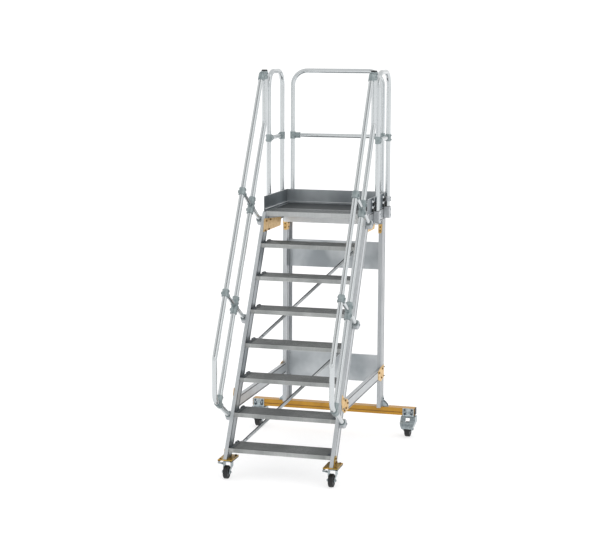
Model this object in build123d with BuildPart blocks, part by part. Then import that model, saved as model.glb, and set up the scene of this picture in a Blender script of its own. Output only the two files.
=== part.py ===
from build123d import *
import os
from math import atan2, cos, degrees, hypot, radians, sin, tan

# Mobile platform stairs: a 60 degree flight with a guarded platform at the top, on four
# swivel castors. X runs across the flight, +Y points away from the climber, +Z is up.
# All sizes are in millimetres.

# Flight
step_rise = 240
first_rise = 230
slope_angle = 60
tread_count = 7
clear_width = 790
tread_depth = 218
tread_height = 32.5
tread_skin = 2.5
tread_nose_radius = 3
tread_webs = 3
rib_pitch = 14
rib_gap = 4
rib_depth = 1.2
end_cap_width = 38
end_cap_wall = 4

# Hollow side profiles
bar_thickness = 27
bar_wall = 3
groove_width = 8
groove_depth = 1.2
level_groove_inset = 8
slope_groove_inset = 18
upright_groove_inset = 28
stringer_depth = 108
stringer_foot_height = 154
side_beam_height = 101
base_strut_height = 83
base_strut_bottom = 488
upright_thickness = 32
upright_depth = 110
upright_lip_width = 19
upright_lip_thickness = 4
upright_setback = 5

# Diagonal braces behind the treads
brace_width = 25
brace_thickness = 5
brace_lead = 24
brace_treads = 3
brace_lug_width = 30

# Platform
platform_length = 690
deck_thickness = 38
deck_skin = 3
deck_web_pitch = 85
beam_drop = 4
kick_height = 115
kick_sheet = 3
kick_start = 30
kick_strip_depth = 12
kick_strip_height = 16
cross_beam_depth = 70
cross_beam_height = 102
cross_beam_wall = 3

# Rear panels
panel_height = 225
panel_sheet = 2.5
panel_flange = 25
lower_panel_bottom = 437
upper_panel_bottom = 1384

# Rear beam
rear_beam_top = 236
beam_length = 1396
beam_depth = 75
beam_height = 60
beam_side_wall = 6
beam_overhang = 10
beam_cap = 2
beam_groove_drop = 36
beam_groove_height = 5
beam_groove_depth = 3

# Joining plates
gusset_sheet = 3
bracket_sheet = 3
rear_bracket_height = 75
rear_bracket_taper = 9
rear_bracket_run = 100
rear_bracket_foot_run = 65
foot_bracket_sheet = 4
foot_bracket_leg = 80
foot_bracket_shelf = 52
foot_bracket_width = 50

# Tubular rails of the flight
tube_diameter = 38
tube_wall = 2
rail_offset = 21
rail_reach = 172
hand_rail_height = 505
knee_rail_height = 247
rail_bend = 70
knee_post_setback = 112
knee_post_rise = 410
return_leg_place = 265
strut_places = (1045, 1875)
strut_diameter = 30
strut_wall = 2
foot_boss_setback = 46
foot_boss_diameter = 86
foot_boss_length = 48
foot_boss_floor = 12
foot_boss_edge = 7
slip_gap = 1
clamp_diameter = 51
hand_clamp_length = 56
knee_clamp_length = 138
socket_diameter = 41
hand_socket_length = 56
knee_socket_length = 46
end_clamp_length = 66
end_socket_diameter = 47
top_fitting_height = 65
top_fitting_diameter = 52
top_socket_length = 52
top_socket_diameter = 46
top_bridge_diameter = 44
hand_rail_drop = 24
top_cap_height = 8
top_cap_diameter = 48
fit_gap = 0.05

# Guards of the platform
guard_rise = 1111
guard_bend = 122
guard_front_setback = 250
guard_rear_setback = 57
back_guard_inset = 15
mid_rail_rise = 562
mid_rail_diameter = 34
mid_rail_wall = 2
tee_diameter = 45
tee_height = 58
tee_reach = 62
tee_socket_diameter = 47
sleeve_size = 52
sleeve_width = 56
sleeve_height = 93
sleeve_floor = 8
sleeve_drop = 91
sleeve_edge = 8

# Front castor mountings
front_castor_half_track = 405
front_castor_setback = 27
foot_plate_width = 110
foot_plate_length = 172
foot_plate_thickness = 7
foot_tab_height = 68
foot_tab_foot = 90
foot_tab_top = 50
foot_tab_sheet = 5
foot_pad_thickness = 9
foot_pad_width = 15
foot_pad_edge = 2

# Rear castor mountings
rear_castor_inset = 51
rear_bracket_width = 94
rear_bracket_sheet = 4
rear_bracket_plate = 6

# Castors
castor_plate_length = 84
race_diameter = 58
pin_diameter = 12
pin_nut_diameter = 24
pin_nut_height = 4
swivel_gap = 0.3
fork_sheet = 4
fork_reach = 48
axle_diameter = 12
axle_head_diameter = 20
axle_head_length = 5
hub_boss_diameter = 30
hub_disc = 8
hub_side_gap = 1.5
rim_inset = 3
rim_wall = 5
tyre_side_gap = 5
tyre_wall = 15
tyre_edge = 6
hood_gap = 7
hood_low_angle = 11
hood_high_angle = 66
hood_window = 34
hood_window_margin = 4
pedal_width = 26
pedal_reach = 77
pedal_sheet = 4
pedal_rise = 8
pedal_height = 99
pedal_lead = 10

os.makedirs("parts", exist_ok=True)

# Places that follow from the sizes above
slope_cos = cos(radians(slope_angle))
slope_sin = sin(radians(slope_angle))
going = step_rise / tan(radians(slope_angle))
deck_height = first_rise + step_rise * tread_count
deck_run = going * tread_count
half_clear = clear_width / 2
half_outer = half_clear + bar_thickness
rail_x = half_outer + rail_offset
tube_radius = tube_diameter / 2
front_reach = rail_reach + tube_radius
back_reach = deck_run + platform_length + sleeve_size
nose_y = (front_reach - back_reach) / 2
deck_front_y = nose_y + deck_run
deck_back_y = deck_front_y + platform_length
beam_top = deck_height - beam_drop
side_beam_bottom = beam_top - side_beam_height
upright_back_y = deck_back_y - upright_setback
upright_front_y = upright_back_y - upright_depth
rear_beam_back_y = deck_back_y + beam_overhang
rear_beam_front_y = rear_beam_back_y - beam_depth


def slope_point(along, off):
    """Y and Z of the point that lies this far up the nose line and this far off its front."""
    y = nose_y + along * slope_cos - off * slope_sin
    z = first_rise + along * slope_sin + off * slope_cos
    return (y, z)


def write(piece, name):
    """Label one finished piece and write its file."""
    piece.part.label = name
    export_step(piece.part, f"parts/{name}.step")


def write_pair(piece, name):
    """Write a right-hand piece and its mirror image on the left."""
    with BuildPart() as other:
        mirror(piece.part, about=Plane.YZ)
    write(piece, f"{name}_right")
    write(other, f"{name}_left")


def slab(outline, x_start, x_end, mode=Mode.ADD):
    """Flat piece with its outline in Y and Z, between two places on X."""
    with BuildSketch(Plane.YZ.offset(x_start)) as profile:
        with BuildLine():
            Polyline(*outline, close=True)
        make_face()
    extrude(profile.sketch, amount=x_end - x_start, mode=mode)


def block(x_span, y_span, z_span, mode=Mode.ADD):
    """Straight block between two places on each axis."""
    with BuildSketch(Plane.XY.offset(z_span[0])) as profile:
        with Locations(((x_span[0] + x_span[1]) / 2, (y_span[0] + y_span[1]) / 2)):
            Rectangle(x_span[1] - x_span[0], y_span[1] - y_span[0])
    extrude(profile.sketch, amount=z_span[1] - z_span[0], mode=mode)


def rod(start, end, diameter, mode=Mode.ADD):
    """Solid round bar between two points."""
    reach = Vector(*end) - Vector(*start)
    with BuildSketch(Plane(origin=start, z_dir=reach)) as profile:
        Circle(diameter / 2)
    extrude(profile.sketch, amount=reach.length, mode=mode)


def straight_tube(start, end, diameter, wall):
    """Straight round tube between two points."""
    reach = Vector(*end) - Vector(*start)
    with BuildSketch(Plane(origin=start, z_dir=reach)) as profile:
        Circle(diameter / 2)
        Circle(diameter / 2 - wall, mode=Mode.SUBTRACT)
    extrude(profile.sketch, amount=reach.length)


def bent_tube(points, radius, diameter, wall):
    """Round tube along straight runs that are joined by equal bends."""
    with BuildLine() as route:
        FilletPolyline(*points, radius=radius)
    with BuildSketch(Plane(origin=route.line @ 0, z_dir=route.line % 0)) as profile:
        Circle(diameter / 2)
        Circle(diameter / 2 - wall, mode=Mode.SUBTRACT)
    sweep(profile.sketch, path=route.line)


def profile_bar(origin, direction, length, x_middle, thickness, depth, groove_inset):
    """Hollow bar with a shallow groove near both edges of each wide side, its depth behind the origin."""
    grooves = []
    for side in (-1, 1):
        for place in (groove_inset, depth - groove_inset):
            grooves.append((x_middle + side * thickness / 2, place))
    with BuildSketch(Plane(origin=origin, x_dir=(1, 0, 0), z_dir=direction)) as section:
        with Locations((x_middle, depth / 2)):
            Rectangle(thickness, depth)
            Rectangle(thickness - 2 * bar_wall, depth - 2 * bar_wall, mode=Mode.SUBTRACT)
        with Locations(*grooves):
            Rectangle(2 * groove_depth, groove_width, mode=Mode.SUBTRACT)
    extrude(section.sketch, amount=length)


# Stringers, cut level at the castor plates and at the platform
foot_along = (stringer_foot_height - first_rise) / slope_sin
top_along = (beam_top - first_rise) / slope_sin
stringer_middle = half_clear + bar_thickness / 2
stringer_start = foot_along - stringer_depth
with BuildPart() as stringer:
    profile_bar(
        (0, *slope_point(stringer_start, 0)),
        (0, slope_cos, slope_sin),
        top_along - stringer_start + stringer_depth,
        stringer_middle,
        bar_thickness,
        stringer_depth,
        slope_groove_inset,
    )
    split(bisect_by=Plane.XY.offset(stringer_foot_height), keep=Keep.TOP)
    split(bisect_by=Plane.XY.offset(beam_top), keep=Keep.BOTTOM)
write_pair(stringer, "stringer")

# Treads: ribbed channels with inner webs, open below
tread_half = half_clear - end_cap_width
rib_count = int((tread_depth - rib_pitch) / rib_pitch)
web_spacing = (tread_depth - tread_skin) / (tread_webs + 1)
pocket_width = web_spacing - tread_skin
with BuildPart() as treads:
    for number in range(tread_count):
        tread_y = nose_y + going * number
        tread_top = first_rise + step_rise * number
        with BuildSketch(Plane.YZ.offset(-tread_half)) as section:
            with Locations((tread_y + tread_depth / 2, tread_top - tread_height / 2)):
                Rectangle(tread_depth, tread_height)
            nose_corners = section.vertices().group_by(Axis.Y)[-1].sort_by(Axis.X)
            fillet(nose_corners[0], radius=tread_nose_radius)
            with Locations((tread_y + tread_depth / 2, tread_top - tread_skin - tread_height / 2)):
                with GridLocations(web_spacing, 1, tread_webs + 1, 1):
                    Rectangle(pocket_width, tread_height, mode=Mode.SUBTRACT)
            with Locations((tread_y + tread_depth / 2, tread_top)):
                with GridLocations(rib_pitch, 1, rib_count, 1):
                    Rectangle(rib_gap, 2 * rib_depth, mode=Mode.SUBTRACT)
        extrude(section.sketch, amount=2 * tread_half)
write(treads, "treads")

# Cast caps that carry the tread ends on the stringers
with BuildPart() as tread_caps:
    for number in range(tread_count):
        tread_y = nose_y + going * number
        tread_top = first_rise + step_rise * number
        block(
            (tread_half, half_clear),
            (tread_y, tread_y + tread_depth),
            (tread_top - tread_height, tread_top),
        )
        block(
            (tread_half + end_cap_wall, half_clear - end_cap_wall),
            (tread_y + end_cap_wall, tread_y + tread_depth - end_cap_wall),
            (tread_top - tread_height, tread_top - end_cap_wall),
            mode=Mode.SUBTRACT,
        )
    mirror(about=Plane.YZ)
write(tread_caps, "tread_end_caps")

# Flat diagonal braces under the back corners of the treads, from one side to the other
corner_along = tread_depth * slope_cos - tread_height * slope_sin
corner_off = -tread_depth * slope_sin - tread_height * slope_cos
lug_run = tread_height / tan(radians(slope_angle))
brace_span = brace_treads * step_rise / slope_sin
brace_turn = degrees(atan2(brace_span, 2 * tread_half))
brace_length = hypot(brace_span, 2 * tread_half)
brace_plane = Plane(
    origin=(0, *slope_point(0, corner_off)),
    x_dir=(1, 0, 0),
    z_dir=(0, -slope_sin, slope_cos),
)
with BuildPart() as braces:
    for first in (0, brace_treads):
        brace_start = first * step_rise / slope_sin + corner_along + brace_lead
        with BuildSketch(brace_plane) as bar:
            with Locations(Location((0, brace_start + brace_span / 2), brace_turn)):
                Rectangle(brace_length, brace_width)
        extrude(bar.sketch, amount=-brace_thickness)
        for side, last in ((-1, first), (1, first + brace_treads)):
            lug_y = nose_y + going * last + tread_depth
            lug_z = first_rise + step_rise * last - tread_height
            lug_x = side * tread_half
            slab(
                [(lug_y, lug_z), (lug_y, lug_z + tread_height), (lug_y + lug_run, lug_z + tread_height)],
                lug_x - brace_lug_width / 2,
                lug_x + brace_lug_width / 2,
            )
write(braces, "stair_braces")

# Side beams of the platform, mitred on the backs of the stringers
back_plane = Plane(
    origin=(0, *slope_point(0, -stringer_depth)),
    x_dir=(1, 0, 0),
    z_dir=(0, slope_sin, -slope_cos),
)
with BuildPart() as side_beam:
    profile_bar(
        (0, deck_front_y, beam_top),
        (0, 1, 0),
        platform_length,
        stringer_middle,
        bar_thickness,
        side_beam_height,
        level_groove_inset,
    )
    split(bisect_by=back_plane, keep=Keep.TOP)
    mirror(about=Plane.YZ)
write(side_beam, "side_beams")

# Deck: one ribbed panel with webs, open below, between the side beams
deck_rib_count = int((platform_length - rib_pitch) / rib_pitch)
deck_web_count = round(platform_length / deck_web_pitch)
deck_web_spacing = (platform_length - deck_skin) / deck_web_count
deck_middle_y = (deck_front_y + deck_back_y) / 2
with BuildPart() as deck:
    with BuildSketch(Plane.YZ.offset(-half_clear)):
        with Locations((deck_middle_y, deck_height - deck_thickness / 2)):
            Rectangle(platform_length, deck_thickness)
        with Locations((deck_middle_y, deck_height - deck_skin - deck_thickness / 2)):
            with GridLocations(deck_web_spacing, 1, deck_web_count, 1):
                Rectangle(deck_web_spacing - deck_skin, deck_thickness, mode=Mode.SUBTRACT)
        with Locations((deck_middle_y, deck_height)):
            with GridLocations(rib_pitch, 1, deck_rib_count, 1):
                Rectangle(rib_gap, 2 * rib_depth, mode=Mode.SUBTRACT)
    extrude(amount=clear_width)
write(deck, "platform_deck")

# Cross beams below the deck, one before the uprights and one at the back edge
deck_bottom = deck_height - deck_thickness
front_beam_bottom = deck_bottom - cross_beam_height
cross_beams = (
    # back Y, depth, height
    (upright_front_y, cross_beam_depth, cross_beam_height),
    (deck_back_y, cross_beam_depth, deck_bottom - side_beam_bottom),
)
with BuildPart() as cross_beam:
    for back_y, depth, height in cross_beams:
        block(
            (-half_clear, half_clear),
            (back_y - depth, back_y),
            (deck_bottom - height, deck_bottom),
        )
        block(
            (-half_clear, half_clear),
            (back_y - depth + cross_beam_wall, back_y - cross_beam_wall),
            (deck_bottom - height + cross_beam_wall, deck_bottom - cross_beam_wall),
            mode=Mode.SUBTRACT,
        )
write(cross_beam, "platform_cross_beams")

# Kick boards
kick_top = deck_height + kick_height
with BuildPart() as side_kick:
    block(
        (half_clear, half_outer),
        (deck_front_y + kick_start, deck_back_y),
        (beam_top, deck_height),
    )
    block(
        (half_outer - kick_sheet, half_outer),
        (deck_front_y + kick_start, deck_back_y),
        (beam_top, kick_top),
    )
    mirror(about=Plane.YZ)
write(side_kick, "kick_boards_side")
kick_half = half_outer - kick_sheet
with BuildPart() as back_kick:
    block((-kick_half, kick_half), (deck_back_y - kick_sheet, deck_back_y), (deck_height, kick_top))
    block(
        (-kick_half, kick_half),
        (deck_back_y - kick_sheet - kick_strip_depth, deck_back_y),
        (deck_height, deck_height + kick_strip_height),
    )
write(back_kick, "kick_board_back")

# Rear beam with a groove along its front face, and its end caps
beam_bottom = rear_beam_top - beam_height
beam_middle_y = (rear_beam_front_y + rear_beam_back_y) / 2
groove_z = rear_beam_top - beam_groove_drop
with BuildPart() as rear_beam:
    with BuildSketch(Plane.YZ.offset(-beam_length / 2)):
        with Locations((beam_middle_y, rear_beam_top - beam_height / 2)):
            Rectangle(beam_depth, beam_height)
            Rectangle(beam_depth - 2 * beam_side_wall, beam_height - 2 * bar_wall, mode=Mode.SUBTRACT)
        with Locations((rear_beam_front_y, groove_z)):
            Rectangle(2 * beam_groove_depth, beam_groove_height, mode=Mode.SUBTRACT)
    extrude(amount=beam_length)
write(rear_beam, "rear_beam")
with BuildPart() as beam_caps:
    block(
        (beam_length / 2, beam_length / 2 + beam_cap),
        (rear_beam_front_y, rear_beam_back_y),
        (beam_bottom, rear_beam_top),
    )
    mirror(about=Plane.YZ)
write(beam_caps, "beam_end_caps")

# Uprights from the rear beam to the side beams, with a lip turned in at the back
upright_outer = half_outer
upright_inner = upright_outer - upright_thickness
with BuildPart() as upright:
    profile_bar(
        (0, upright_front_y, rear_beam_top),
        (0, 0, 1),
        side_beam_bottom - rear_beam_top,
        (upright_inner + upright_outer) / 2,
        upright_thickness,
        upright_depth,
        upright_groove_inset,
    )
    block(
        (upright_inner - upright_lip_width, upright_inner),
        (upright_back_y - upright_lip_thickness, upright_back_y),
        (rear_beam_top, side_beam_bottom),
    )
    mirror(about=Plane.YZ)
write(upright, "uprights")

# Rear panels: sheet trays between the uprights, open at the back
panel_back_y = upright_back_y - upright_lip_thickness
panel_front_y = panel_back_y - panel_flange
with BuildPart() as panels:
    for bottom in (lower_panel_bottom, upper_panel_bottom):
        block(
            (-upright_inner, upright_inner),
            (panel_front_y, panel_back_y),
            (bottom, bottom + panel_height),
        )
        block(
            (-upright_inner + panel_sheet, upright_inner - panel_sheet),
            (panel_front_y + panel_sheet, panel_back_y),
            (bottom + panel_sheet, bottom + panel_height - panel_sheet),
            mode=Mode.SUBTRACT,
        )
write(panels, "rear_panels")

# Base struts from the stringers to the uprights
base_strut_top = base_strut_bottom + base_strut_height
with BuildPart() as base_strut:
    profile_bar(
        (0, nose_y, base_strut_top),
        (0, 1, 0),
        upright_front_y - nose_y,
        stringer_middle,
        bar_thickness,
        base_strut_height,
        level_groove_inset,
    )
    split(bisect_by=back_plane, keep=Keep.TOP)
    mirror(about=Plane.YZ)
write(base_strut, "base_struts")

# Gussets at the four corners of each side frame: corner points from the lowest nose
base_front_outline = [
    (226, 641),
    (270, 610),
    (394, 569),
    (418, 540),
    (412, 490),
    (300, 484),
    (228, 520),
    (203, 592),
]
base_rear_outline = [
    (1445, 495),
    (1445, 565),
    (1525, 584),
    (1652, 584),
    (1652, 480),
    (1545, 462),
]
top_front_outline = [
    (892, 1753),
    (916, 1857),
    (1394, 1820),
    (1368, 1752),
]


def placed(outline):
    """Corner points measured from the lowest nose, as Y and Z of the part."""
    return [(nose_y + y, z) for y, z in outline]


with BuildPart() as gussets:
    slab(placed(base_front_outline), half_outer, half_outer + gusset_sheet)
    slab(placed(base_rear_outline), half_outer, half_outer + gusset_sheet)
    slab(placed(top_front_outline), half_clear - gusset_sheet, half_clear)
    mirror(about=Plane.YZ)
write(gussets, "corner_gussets")

# Angle brackets on the uprights below the front cross beam
rear_bracket_top = front_beam_bottom
rear_bracket_bottom = rear_bracket_top - rear_bracket_height
rear_bracket_inner = upright_inner - bracket_sheet
with BuildPart() as top_brackets:
    with BuildSketch(Plane.XZ.offset(-upright_front_y)) as face:
        with BuildLine():
            Polyline(
                (rear_bracket_inner, rear_bracket_top),
                (upright_outer, rear_bracket_top),
                (upright_outer - rear_bracket_taper, rear_bracket_bottom),
                (rear_bracket_inner, rear_bracket_bottom),
                close=True,
            )
        make_face()
    extrude(face.sketch, amount=bracket_sheet)
    slab(
        [
            (upright_front_y, rear_bracket_top),
            (upright_front_y + rear_bracket_run, rear_bracket_top),
            (upright_front_y + rear_bracket_foot_run, rear_bracket_bottom),
            (upright_front_y, rear_bracket_bottom),
        ],
        rear_bracket_inner,
        upright_inner,
    )
    mirror(about=Plane.YZ)
write(top_brackets, "brackets_top_rear")

# Angle brackets that stand the uprights on the rear beam
foot_bracket_front = upright_back_y - foot_bracket_width
with BuildPart() as foot_brackets:
    block(
        (upright_outer, upright_outer + foot_bracket_sheet),
        (foot_bracket_front, upright_back_y),
        (rear_beam_top, rear_beam_top + foot_bracket_leg),
    )
    block(
        (upright_outer, upright_outer + foot_bracket_shelf),
        (foot_bracket_front, upright_back_y),
        (rear_beam_top, rear_beam_top + foot_bracket_sheet),
    )
    mirror(about=Plane.YZ)
write(foot_brackets, "upright_foot_brackets")

# Tubular rails beside the flight
foot_off = -foot_boss_setback
rail_foot_off = foot_off + foot_boss_floor
rail_front_y = nose_y - rail_reach
knee_post_y = deck_front_y + knee_post_setback
knee_corner_along = (knee_post_y - nose_y + knee_rail_height * slope_sin) / slope_cos
rail_top = slope_point(knee_corner_along, knee_rail_height)[1] + knee_post_rise
hand_top_z = rail_top - hand_rail_drop
hand_top_along = (hand_top_z - first_rise - hand_rail_height * slope_cos) / slope_sin
upper_corner_along = (rail_front_y - nose_y + hand_rail_height * slope_sin) / slope_cos
lower_corner_off = (return_leg_place * slope_cos + rail_reach) / slope_sin
hand_rail_points = [
    (rail_x, *slope_point(hand_top_along, hand_rail_height)),
    (rail_x, *slope_point(upper_corner_along, hand_rail_height)),
    (rail_x, *slope_point(return_leg_place, lower_corner_off)),
    (rail_x, *slope_point(return_leg_place, rail_foot_off)),
]
with BuildPart() as hand_rail:
    bent_tube(hand_rail_points, rail_bend, tube_diameter, tube_wall)
write_pair(hand_rail, "handrail")

knee_end_along = return_leg_place + tube_radius + slip_gap
knee_rail_points = [
    (rail_x, knee_post_y, rail_top),
    (rail_x, *slope_point(knee_corner_along, knee_rail_height)),
    (rail_x, *slope_point(knee_end_along, knee_rail_height)),
]
with BuildPart() as knee_rail:
    bent_tube(knee_rail_points, rail_bend, tube_diameter, tube_wall)
    mirror(about=Plane.YZ)
write(knee_rail, "knee_rails")

# Struts square to the flight: foot to knee rail, and knee rail to handrail
strut_runs = (
    # lower end, upper end, both off the nose line
    (rail_foot_off, knee_rail_height - tube_radius - slip_gap),
    (knee_rail_height + tube_radius + slip_gap, hand_rail_height - tube_radius - slip_gap),
)
with BuildPart() as struts:
    for place in strut_places:
        for low, high in strut_runs:
            straight_tube(
                (rail_x, *slope_point(place, low)),
                (rail_x, *slope_point(place, high)),
                strut_diameter,
                strut_wall,
            )
    mirror(about=Plane.YZ)
write(struts, "rail_struts")

# Clamps where rails and struts meet
tube_bore = tube_diameter + 2 * fit_gap
strut_bore = strut_diameter + 2 * fit_gap
with BuildPart() as clamps:
    for place in strut_places:
        for off, length, socket in (
            (hand_rail_height, hand_clamp_length, hand_socket_length),
            (knee_rail_height, knee_clamp_length, knee_socket_length),
        ):
            rod(
                (rail_x, *slope_point(place - length / 2, off)),
                (rail_x, *slope_point(place + length / 2, off)),
                clamp_diameter,
            )
            rod(
                (rail_x, *slope_point(place, off - socket)),
                (rail_x, *slope_point(place, off)),
                socket_diameter,
            )
        rod(
            (rail_x, *slope_point(place, knee_rail_height)),
            (rail_x, *slope_point(place, knee_rail_height + knee_socket_length)),
            socket_diameter,
        )
    rod(
        (rail_x, *slope_point(return_leg_place, knee_rail_height - end_clamp_length / 2)),
        (rail_x, *slope_point(return_leg_place, knee_rail_height + end_clamp_length / 2)),
        clamp_diameter,
    )
    rod(
        (rail_x, *slope_point(return_leg_place, knee_rail_height)),
        (rail_x, *slope_point(return_leg_place + end_clamp_length, knee_rail_height)),
        end_socket_diameter,
    )
    for place in strut_places:
        for low, high in strut_runs:
            rod(
                (rail_x, *slope_point(place, low)),
                (rail_x, *slope_point(place, high)),
                strut_bore,
                mode=Mode.SUBTRACT,
            )
    rod(
        (rail_x, *slope_point(upper_corner_along, hand_rail_height)),
        (rail_x, *slope_point(hand_top_along, hand_rail_height)),
        tube_bore,
        mode=Mode.SUBTRACT,
    )
    rod(
        (rail_x, *slope_point(knee_end_along, knee_rail_height)),
        (rail_x, *slope_point(knee_corner_along, knee_rail_height)),
        tube_bore,
        mode=Mode.SUBTRACT,
    )
    rod(
        (rail_x, *slope_point(return_leg_place, rail_foot_off)),
        (rail_x, *slope_point(return_leg_place, lower_corner_off)),
        tube_bore,
        mode=Mode.SUBTRACT,
    )
    mirror(about=Plane.YZ)
write(clamps, "rail_clamps")

# Round feet that hold the lowest leg and the struts on the stringers
with BuildPart() as feet:
    for place in (return_leg_place, *strut_places):
        foot_centre = slope_point(place, foot_off)
        rod(
            (half_outer, *foot_centre),
            (half_outer + foot_boss_length, *foot_centre),
            foot_boss_diameter,
        )
    fillet(feet.faces().filter_by(Axis.X).group_by(Axis.X)[-1].edges(), radius=foot_boss_edge)
    for place, bore in zip(
        (return_leg_place, *strut_places), (tube_bore, strut_bore, strut_bore)
    ):
        rod(
            (rail_x, *slope_point(place, rail_foot_off)),
            (rail_x, *slope_point(place, rail_foot_off + foot_boss_diameter)),
            bore,
            mode=Mode.SUBTRACT,
        )
    mirror(about=Plane.YZ)
write(feet, "rail_feet")

# Top fittings that join handrail and knee rail, with a cap on each
socket_bottom_along = hand_top_along - top_socket_length
with BuildPart() as top_fittings:
    rod(
        (rail_x, knee_post_y, rail_top - top_fitting_height),
        (rail_x, knee_post_y, rail_top),
        top_fitting_diameter,
    )
    rod(
        (rail_x, *slope_point(socket_bottom_along, hand_rail_height)),
        (rail_x, *slope_point(hand_top_along, hand_rail_height)),
        top_socket_diameter,
    )
    rod(
        (rail_x, slope_point(hand_top_along, hand_rail_height)[0], hand_top_z),
        (rail_x, knee_post_y, hand_top_z),
        top_bridge_diameter,
    )
    rod(
        (rail_x, knee_post_y, rail_top - 2 * top_fitting_height),
        (rail_x, knee_post_y, rail_top),
        tube_bore,
        mode=Mode.SUBTRACT,
    )
    rod(
        (rail_x, *slope_point(socket_bottom_along - top_socket_length, hand_rail_height)),
        (rail_x, *slope_point(hand_top_along, hand_rail_height)),
        tube_bore,
        mode=Mode.SUBTRACT,
    )
    mirror(about=Plane.YZ)
write(top_fittings, "rail_top_fittings")
with BuildPart() as top_caps:
    rod(
        (rail_x, knee_post_y, rail_top),
        (rail_x, knee_post_y, rail_top + top_cap_height),
        top_cap_diameter,
    )
    mirror(about=Plane.YZ)
write(top_caps, "rail_top_caps")

# Guards: hoops of tube that stand in sleeves on the outside of the platform
sleeve_bottom = deck_height - sleeve_drop
sleeve_top = sleeve_bottom + sleeve_height
guard_foot = sleeve_bottom + sleeve_floor
guard_top = deck_height + guard_rise - tube_radius
side_guard_x = half_outer + sleeve_size / 2
back_guard_y = deck_back_y + sleeve_size / 2
back_guard_half_span = half_clear - back_guard_inset
guard_front_y = deck_front_y + guard_front_setback
guard_rear_y = deck_back_y - guard_rear_setback
with BuildPart() as side_guard:
    bent_tube(
        [
            (side_guard_x, guard_front_y, guard_foot),
            (side_guard_x, guard_front_y, guard_top),
            (side_guard_x, guard_rear_y, guard_top),
            (side_guard_x, guard_rear_y, guard_foot),
        ],
        guard_bend,
        tube_diameter,
        tube_wall,
    )
write_pair(side_guard, "guard")
with BuildPart() as back_guard:
    bent_tube(
        [
            (-back_guard_half_span, back_guard_y, guard_foot),
            (-back_guard_half_span, back_guard_y, guard_top),
            (back_guard_half_span, back_guard_y, guard_top),
            (back_guard_half_span, back_guard_y, guard_foot),
        ],
        guard_bend,
        tube_diameter,
        tube_wall,
    )
write(back_guard, "guard_back")

# Middle rails of the guards
mid_rail_z = deck_height + mid_rail_rise
mid_end = tube_radius + slip_gap
with BuildPart() as mid_rails:
    straight_tube(
        (side_guard_x, guard_front_y + mid_end, mid_rail_z),
        (side_guard_x, guard_rear_y - mid_end, mid_rail_z),
        mid_rail_diameter,
        mid_rail_wall,
    )
    mirror(about=Plane.YZ)
    straight_tube(
        (-back_guard_half_span + mid_end, back_guard_y, mid_rail_z),
        (back_guard_half_span - mid_end, back_guard_y, mid_rail_z),
        mid_rail_diameter,
        mid_rail_wall,
    )
write(mid_rails, "guard_mid_rails")

# Tees that hold the middle rails
mid_bore = mid_rail_diameter + 2 * fit_gap
tee_places = (
    # x, y, direction of the middle rail
    (side_guard_x, guard_front_y, (0, 1, 0)),
    (side_guard_x, guard_rear_y, (0, -1, 0)),
    (back_guard_half_span, back_guard_y, (-1, 0, 0)),
)
with BuildPart() as tees:
    for x, y, inward in tee_places:
        centre = Vector(x, y, mid_rail_z)
        reach = Vector(*inward)
        rod((x, y, mid_rail_z - tee_height / 2), (x, y, mid_rail_z + tee_height / 2), tee_diameter)
        rod(centre, centre + reach * tee_reach, tee_socket_diameter)
        rod((x, y, mid_rail_z - tee_height), (x, y, mid_rail_z + tee_height), tube_bore, mode=Mode.SUBTRACT)
        rod(
            centre + reach * mid_end,
            centre + reach * 2 * tee_reach,
            mid_bore,
            mode=Mode.SUBTRACT,
        )
    mirror(about=Plane.YZ)
write(tees, "guard_tees")

# Sleeves on the side beams and behind the deck
sleeve_places = (
    # x, y, size across X, size across Y
    (side_guard_x, guard_front_y, sleeve_size, sleeve_width),
    (side_guard_x, guard_rear_y, sleeve_size, sleeve_width),
    (back_guard_half_span, back_guard_y, sleeve_width, sleeve_size),
)
with BuildPart() as sleeves:
    for x, y, x_size, y_size in sleeve_places:
        block(
            (x - x_size / 2, x + x_size / 2),
            (y - y_size / 2, y + y_size / 2),
            (sleeve_bottom, sleeve_top),
        )
    fillet(sleeves.edges().filter_by(Axis.Z), radius=sleeve_edge)
    for x, y, x_size, y_size in sleeve_places:
        rod((x, y, guard_foot), (x, y, sleeve_top + sleeve_floor), tube_bore, mode=Mode.SUBTRACT)
    mirror(about=Plane.YZ)
write(sleeves, "guard_sleeves")

# Front castor mountings: a plate with a side tab under each stringer, and a strip under
# each of its two side edges
front_castor_y = nose_y + front_castor_setback
plate_half = foot_plate_length / 2
plate_bottom = stringer_foot_height - foot_plate_thickness
with BuildPart() as foot_plates:
    block(
        (front_castor_half_track - foot_plate_width / 2, front_castor_half_track + foot_plate_width / 2),
        (front_castor_y - plate_half, front_castor_y + plate_half),
        (plate_bottom, stringer_foot_height),
    )
    slab(
        [
            (front_castor_y - foot_tab_foot / 2, stringer_foot_height),
            (front_castor_y + foot_tab_foot / 2, stringer_foot_height),
            (front_castor_y + foot_tab_top / 2, stringer_foot_height + foot_tab_height),
            (front_castor_y - foot_tab_top / 2, stringer_foot_height + foot_tab_height),
        ],
        half_outer,
        half_outer + foot_tab_sheet,
    )
    mirror(about=Plane.YZ)
write(foot_plates, "front_foot_plates")
pad_bottom = plate_bottom - foot_pad_thickness
pad_outer = foot_plate_width / 2
pad_inner = pad_outer - foot_pad_width
with BuildPart() as foot_pads:
    for near, far in ((-pad_outer, -pad_inner), (pad_inner, pad_outer)):
        block(
            (front_castor_half_track + near, front_castor_half_track + far),
            (front_castor_y - plate_half, front_castor_y + plate_half),
            (pad_bottom, plate_bottom),
        )
    chamfer(foot_pads.edges().filter_by(Axis.Z), length=foot_pad_edge)
    mirror(about=Plane.YZ)
write(foot_pads, "front_foot_pads")

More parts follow.
